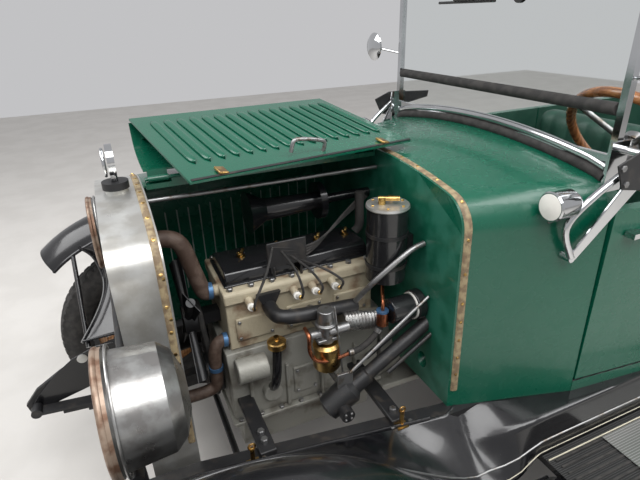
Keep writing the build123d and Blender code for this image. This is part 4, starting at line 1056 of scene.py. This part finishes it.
def sill(s):
    # where the black sheet starts: on the frame rail, then below the body's side
    k = soften((s - 0.745) / 0.06)
    return mix(rail_y(s) + 0.001, min(body_y(s) - 0.004, 0.555), k), mix(0.552, 0.5458, k)


def brim(s):
    # where it ends: under the fender's inner edge, then on the running board
    k = soften((s - 0.86) / 0.14)
    return mix(fender_in, 0.572, k), max(mix(along(inner_heights, s), ledge_z, k), ledge_z)


def on_apron(s, t):
    # one bend across: none beside the engine, a square ledge beside the doors
    foot, head = Vector(sill(s)), Vector(brim(s))
    knee = foot.lerp(head, 0.4).lerp(Vector((0.5645, 0.5462)), soften((s - 0.78) / 0.21))
    p = foot.lerp(knee, t / 0.4) if t < 0.4 else knee.lerp(head, (t - 0.4) / 0.6)
    dip = 0.014 * math.sin(math.pi * t) * soften((s - 0.3) / 0.3) * (1 - soften((s - 0.8) / 0.19))
    return at(s, p.x, p.y - dip)


def apron(u, v):
    last = len(edge_path) - 1
    lead = edge_path[min(int(v * last + 0.5), last)]
    if u == 0:
        return at(*lead)
    across_share = (lead.y - front_edge[0][1]) / (fender_in - front_edge[0][1])
    return on_apron(mix(lead.x, apron_end, u), v if u > 0.06 else mix(across_share, v, u / 0.06))


piece("aprons", both(grid(apron, 110, 24)), black, thick=0.003, sharp=60)
rail_edge = [(s, rail_y(s) + 0.003, 0.555) for s in (-0.16, 0.0, 0.1, 0.25, 0.4, 0.55, 0.7)]
piece("apron_edges", both(
    tube([at(*p) for p in edge_path], 0.0055, 10, 1), tube(rail_edge, 0.0045, 8, 1)), black)
apron_s = [0.42 + 0.0435 * k for k in range(41)]
lift = Vector((0, 0.0016, 0.0022))
piece("step_line", both(tube([on_apron(s, 0.77) + lift for s in apron_s], 0.0028, 8, 1)), steel)
piece("stripe_lines", both(
    tube([on_apron(s, 0.95) + lift for s in apron_s], 0.0013, 6, 1),
    block(1.0, 2.16, 0.5925, 0.5955, 0.4052, 0.4085)), cream)
plates = [block(s0, s1, 0.6, 0.78, 0.4087, 0.4107) for s0, s1 in ((1.2, 1.62), (2.0, 2.15))]
piece("step_plates", both(*plates), plate_metal)

# Engine arms and steering gear
arms = [block(s - 0.022, s + 0.022, 0.14, y, 0.5455, 0.562) for s, y in ((0.27, 0.365), (0.62, 0.414))]
piece("engine_arms", both(*arms), satin_black, bevel=0.003)
column = piece("column_tube", [rod((0.47, 0.29, 0.559), (1.478, 0.29, 1.1688), 0.0195)], satin_black)
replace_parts(column, "steering_column")
box_profile = [(-0.03, 0.018), (-0.022, 0.036), (0.06, 0.04), (0.075, 0.026), (0.12, 0.025), (0.125, 0.02)]
piece("steering_box", [
    lathe((0.485, 0.29, 0.568), (-0.855, 0, 0.518), box_profile, 28),
    rod((0.5, 0.3, 0.566), (0.5, 0.352, 0.566), 0.02),
    rod((0.6, 0.262, 0.665), (0.8, 0.262, 0.79), 0.008),
    rod((0.64, 0.318, 0.64), (0.79, 0.318, 0.735), 0.006)], satin_black)
box_bolts = [(0.5 + 0.012 * math.cos(a), 0.352, 0.566 + 0.012 * math.sin(a))
             for a in [math.pi * k / 2 + 0.78 for k in range(4)]]
piece("steering_box_bolts", bolts(box_bolts, leftward, 0.004, 0.004), steel)

# Side plates closing the frame horns, with a small blank plate on the far one
horn_rows = ((-0.366, 0.35), (-0.33, 0.4), (-0.27, 0.46), (-0.2, 0.51), (-0.12, 0.538),
             (-0.03, 0.535), (-0.03, 0.42), (-0.18, 0.378), (-0.3, 0.348))
piece("horn_plates", both(prism([(s, 0.331, z) for s, z in horn_rows], (0, 0.006, 0))), black, bevel=0.002)
disc = [(0, 0.017), (0.0015, 0.017), (0.002, 0.014)]
piece("blank_plate", [lathe((-0.17, -0.3305, 0.503), leftward, disc, 30)], shell)

# Running boards: bright edge and ribs
low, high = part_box("running_boards")
board_s0, board_s1 = radiator_x - high.x, radiator_x - low.x
piece("board_trim", both(block(board_s0, board_s1, 0.7995, 0.806, 0.384, 0.409)), drum, bevel=0.001)
board_ribs = [block(board_s0 + 0.02, board_s1 - 0.02, y, y + 0.006, 0.4052, 0.4085)
              for y in [0.6 + 0.022 * k for k in range(9)]]
piece("board_ribs", both(*board_ribs), rubber)

# Cabin: instrument board with dials, levers and pedals
board = [(-0.485, 1.03), (-0.485, 1.12), (-0.4, 1.165), (0.4, 1.165), (0.485, 1.12), (0.485, 1.03)]
piece("instrument_board", [across_x(board, 1.1, 1.112)], wood, bevel=0.003)
dials = [(0.0, 1.095, 0.04), (-0.11, 1.095, 0.03), (0.11, 1.095, 0.03), (-0.2, 1.095, 0.022)]
piece("dial_rims", [ring((1.114, y, z), forward, r, 0.004, 40, 8) for y, z, r in dials], chrome)
piece("dial_faces", [lathe((1.1125, y, z), rearward, [(0, r), (0.001, r)], 36) for y, z, r in dials], white)
hand_s = 1.1142
piece("dial_hands", [prism([
    (hand_s, y - 0.0015, z), (hand_s, y + 0.0015, z),
    (hand_s, y + r * 0.5, z + r * 0.6)], (-0.0005, 0, 0)) for y, z, r in dials], satin_black)
piece("gear_lever", [
    tube([(1.18, 0.02, 0.57), (1.2, 0.02, 0.72), (1.26, 0.02, 0.86)], 0.008, 10),
    tube([(1.22, -0.07, 0.57), (1.23, -0.07, 0.74), (1.25, -0.07, 0.9)], 0.009, 10)], steel)
knob = [(0, 0.008), (0.006, 0.018), (0.016, 0.022), (0.028, 0.016), (0.033, 0.0)]
piece("gear_knob", [lathe((1.256, 0.02, 0.852), (-0.3, 0, 1), knob)], satin_black)
pedals = []
for y in (0.17, 0.29):
    pedals += [block(0.965, 0.985, y - 0.025, y + 0.025, 0.66, 0.73),
               tube([(0.985, y, 0.69), (0.96, y, 0.6), (0.93, y, 0.57)], 0.006, 8)]
piece("pedals", pedals, satin_black, bevel=0.003)

# Camera measured from the photograph's vanishing points
camera_place = at(0.052, 1.23, 1.554)
camera_yaw = math.radians(23.344)
camera_pitch = math.radians(-25.121)
camera_roll = math.radians(-1.656)
focal_share = 487.775 / 640


def make_camera():
    sin_y, cos_y = math.sin(camera_yaw), math.cos(camera_yaw)
    sin_p, cos_p = math.sin(camera_pitch), math.cos(camera_pitch)
    ahead = Vector((-sin_y * cos_p, -cos_y * cos_p, sin_p))
    level = Vector((-cos_y, sin_y, 0))
    over = Vector((sin_p * sin_y, sin_p * cos_y, cos_p))
    c, s = math.cos(camera_roll), math.sin(camera_roll)
    right = c * level + s * over
    up = c * over - s * level
    data = bpy.data.cameras.new("camera")
    data.sensor_width = 36
    data.lens = 36 * focal_share
    data.clip_start = 0.05
    camera = bpy.data.objects.new("camera", data)
    bpy.context.scene.collection.objects.link(camera)
    turn = Matrix((right, up, -ahead)).transposed()
    camera.matrix_world = Matrix.Translation(camera_place) @ turn.to_4x4()
    bpy.context.scene.camera = camera


# Floor and light
floor_mesh = bpy.data.meshes.new("floor")
floor_mesh.from_pydata([(-9, -9, 0), (9, -9, 0), (9, 9, 0), (-9, 9, 0)], [], [(0, 1, 2, 3)])
floor = bpy.data.objects.new("floor", floor_mesh)
bpy.context.scene.collection.objects.link(floor)
floor_mesh.materials.append(material("floor", (0.62, 0.6, 0.57), 0.6, second=(0.58, 0.56, 0.53), scale=3))
for place, power in (((1.5, 2.5, 4.5), 160), ((3.5, -1.0, 4.0), 120), ((-2, 2, 4.5), 150)):
    light = bpy.data.lights.new("soft", "AREA")
    light.size = 3.0
    light.energy = power
    holder = bpy.data.objects.new("soft", light)
    holder.location = place
    holder.rotation_euler = (Vector((1, 0, 0.6)) - Vector(place)).to_track_quat("-Z", "Y").to_euler()
    bpy.context.scene.collection.objects.link(holder)
world = bpy.data.worlds.new("world")
world.use_nodes = True
world.node_tree.nodes["Background"].inputs[0].default_value = (0.9, 0.9, 0.92, 1)
world.node_tree.nodes["Background"].inputs[1].default_value = 0.6
bpy.context.scene.world = world
bpy.context.scene.view_settings.view_transform = "Standard"
make_camera()
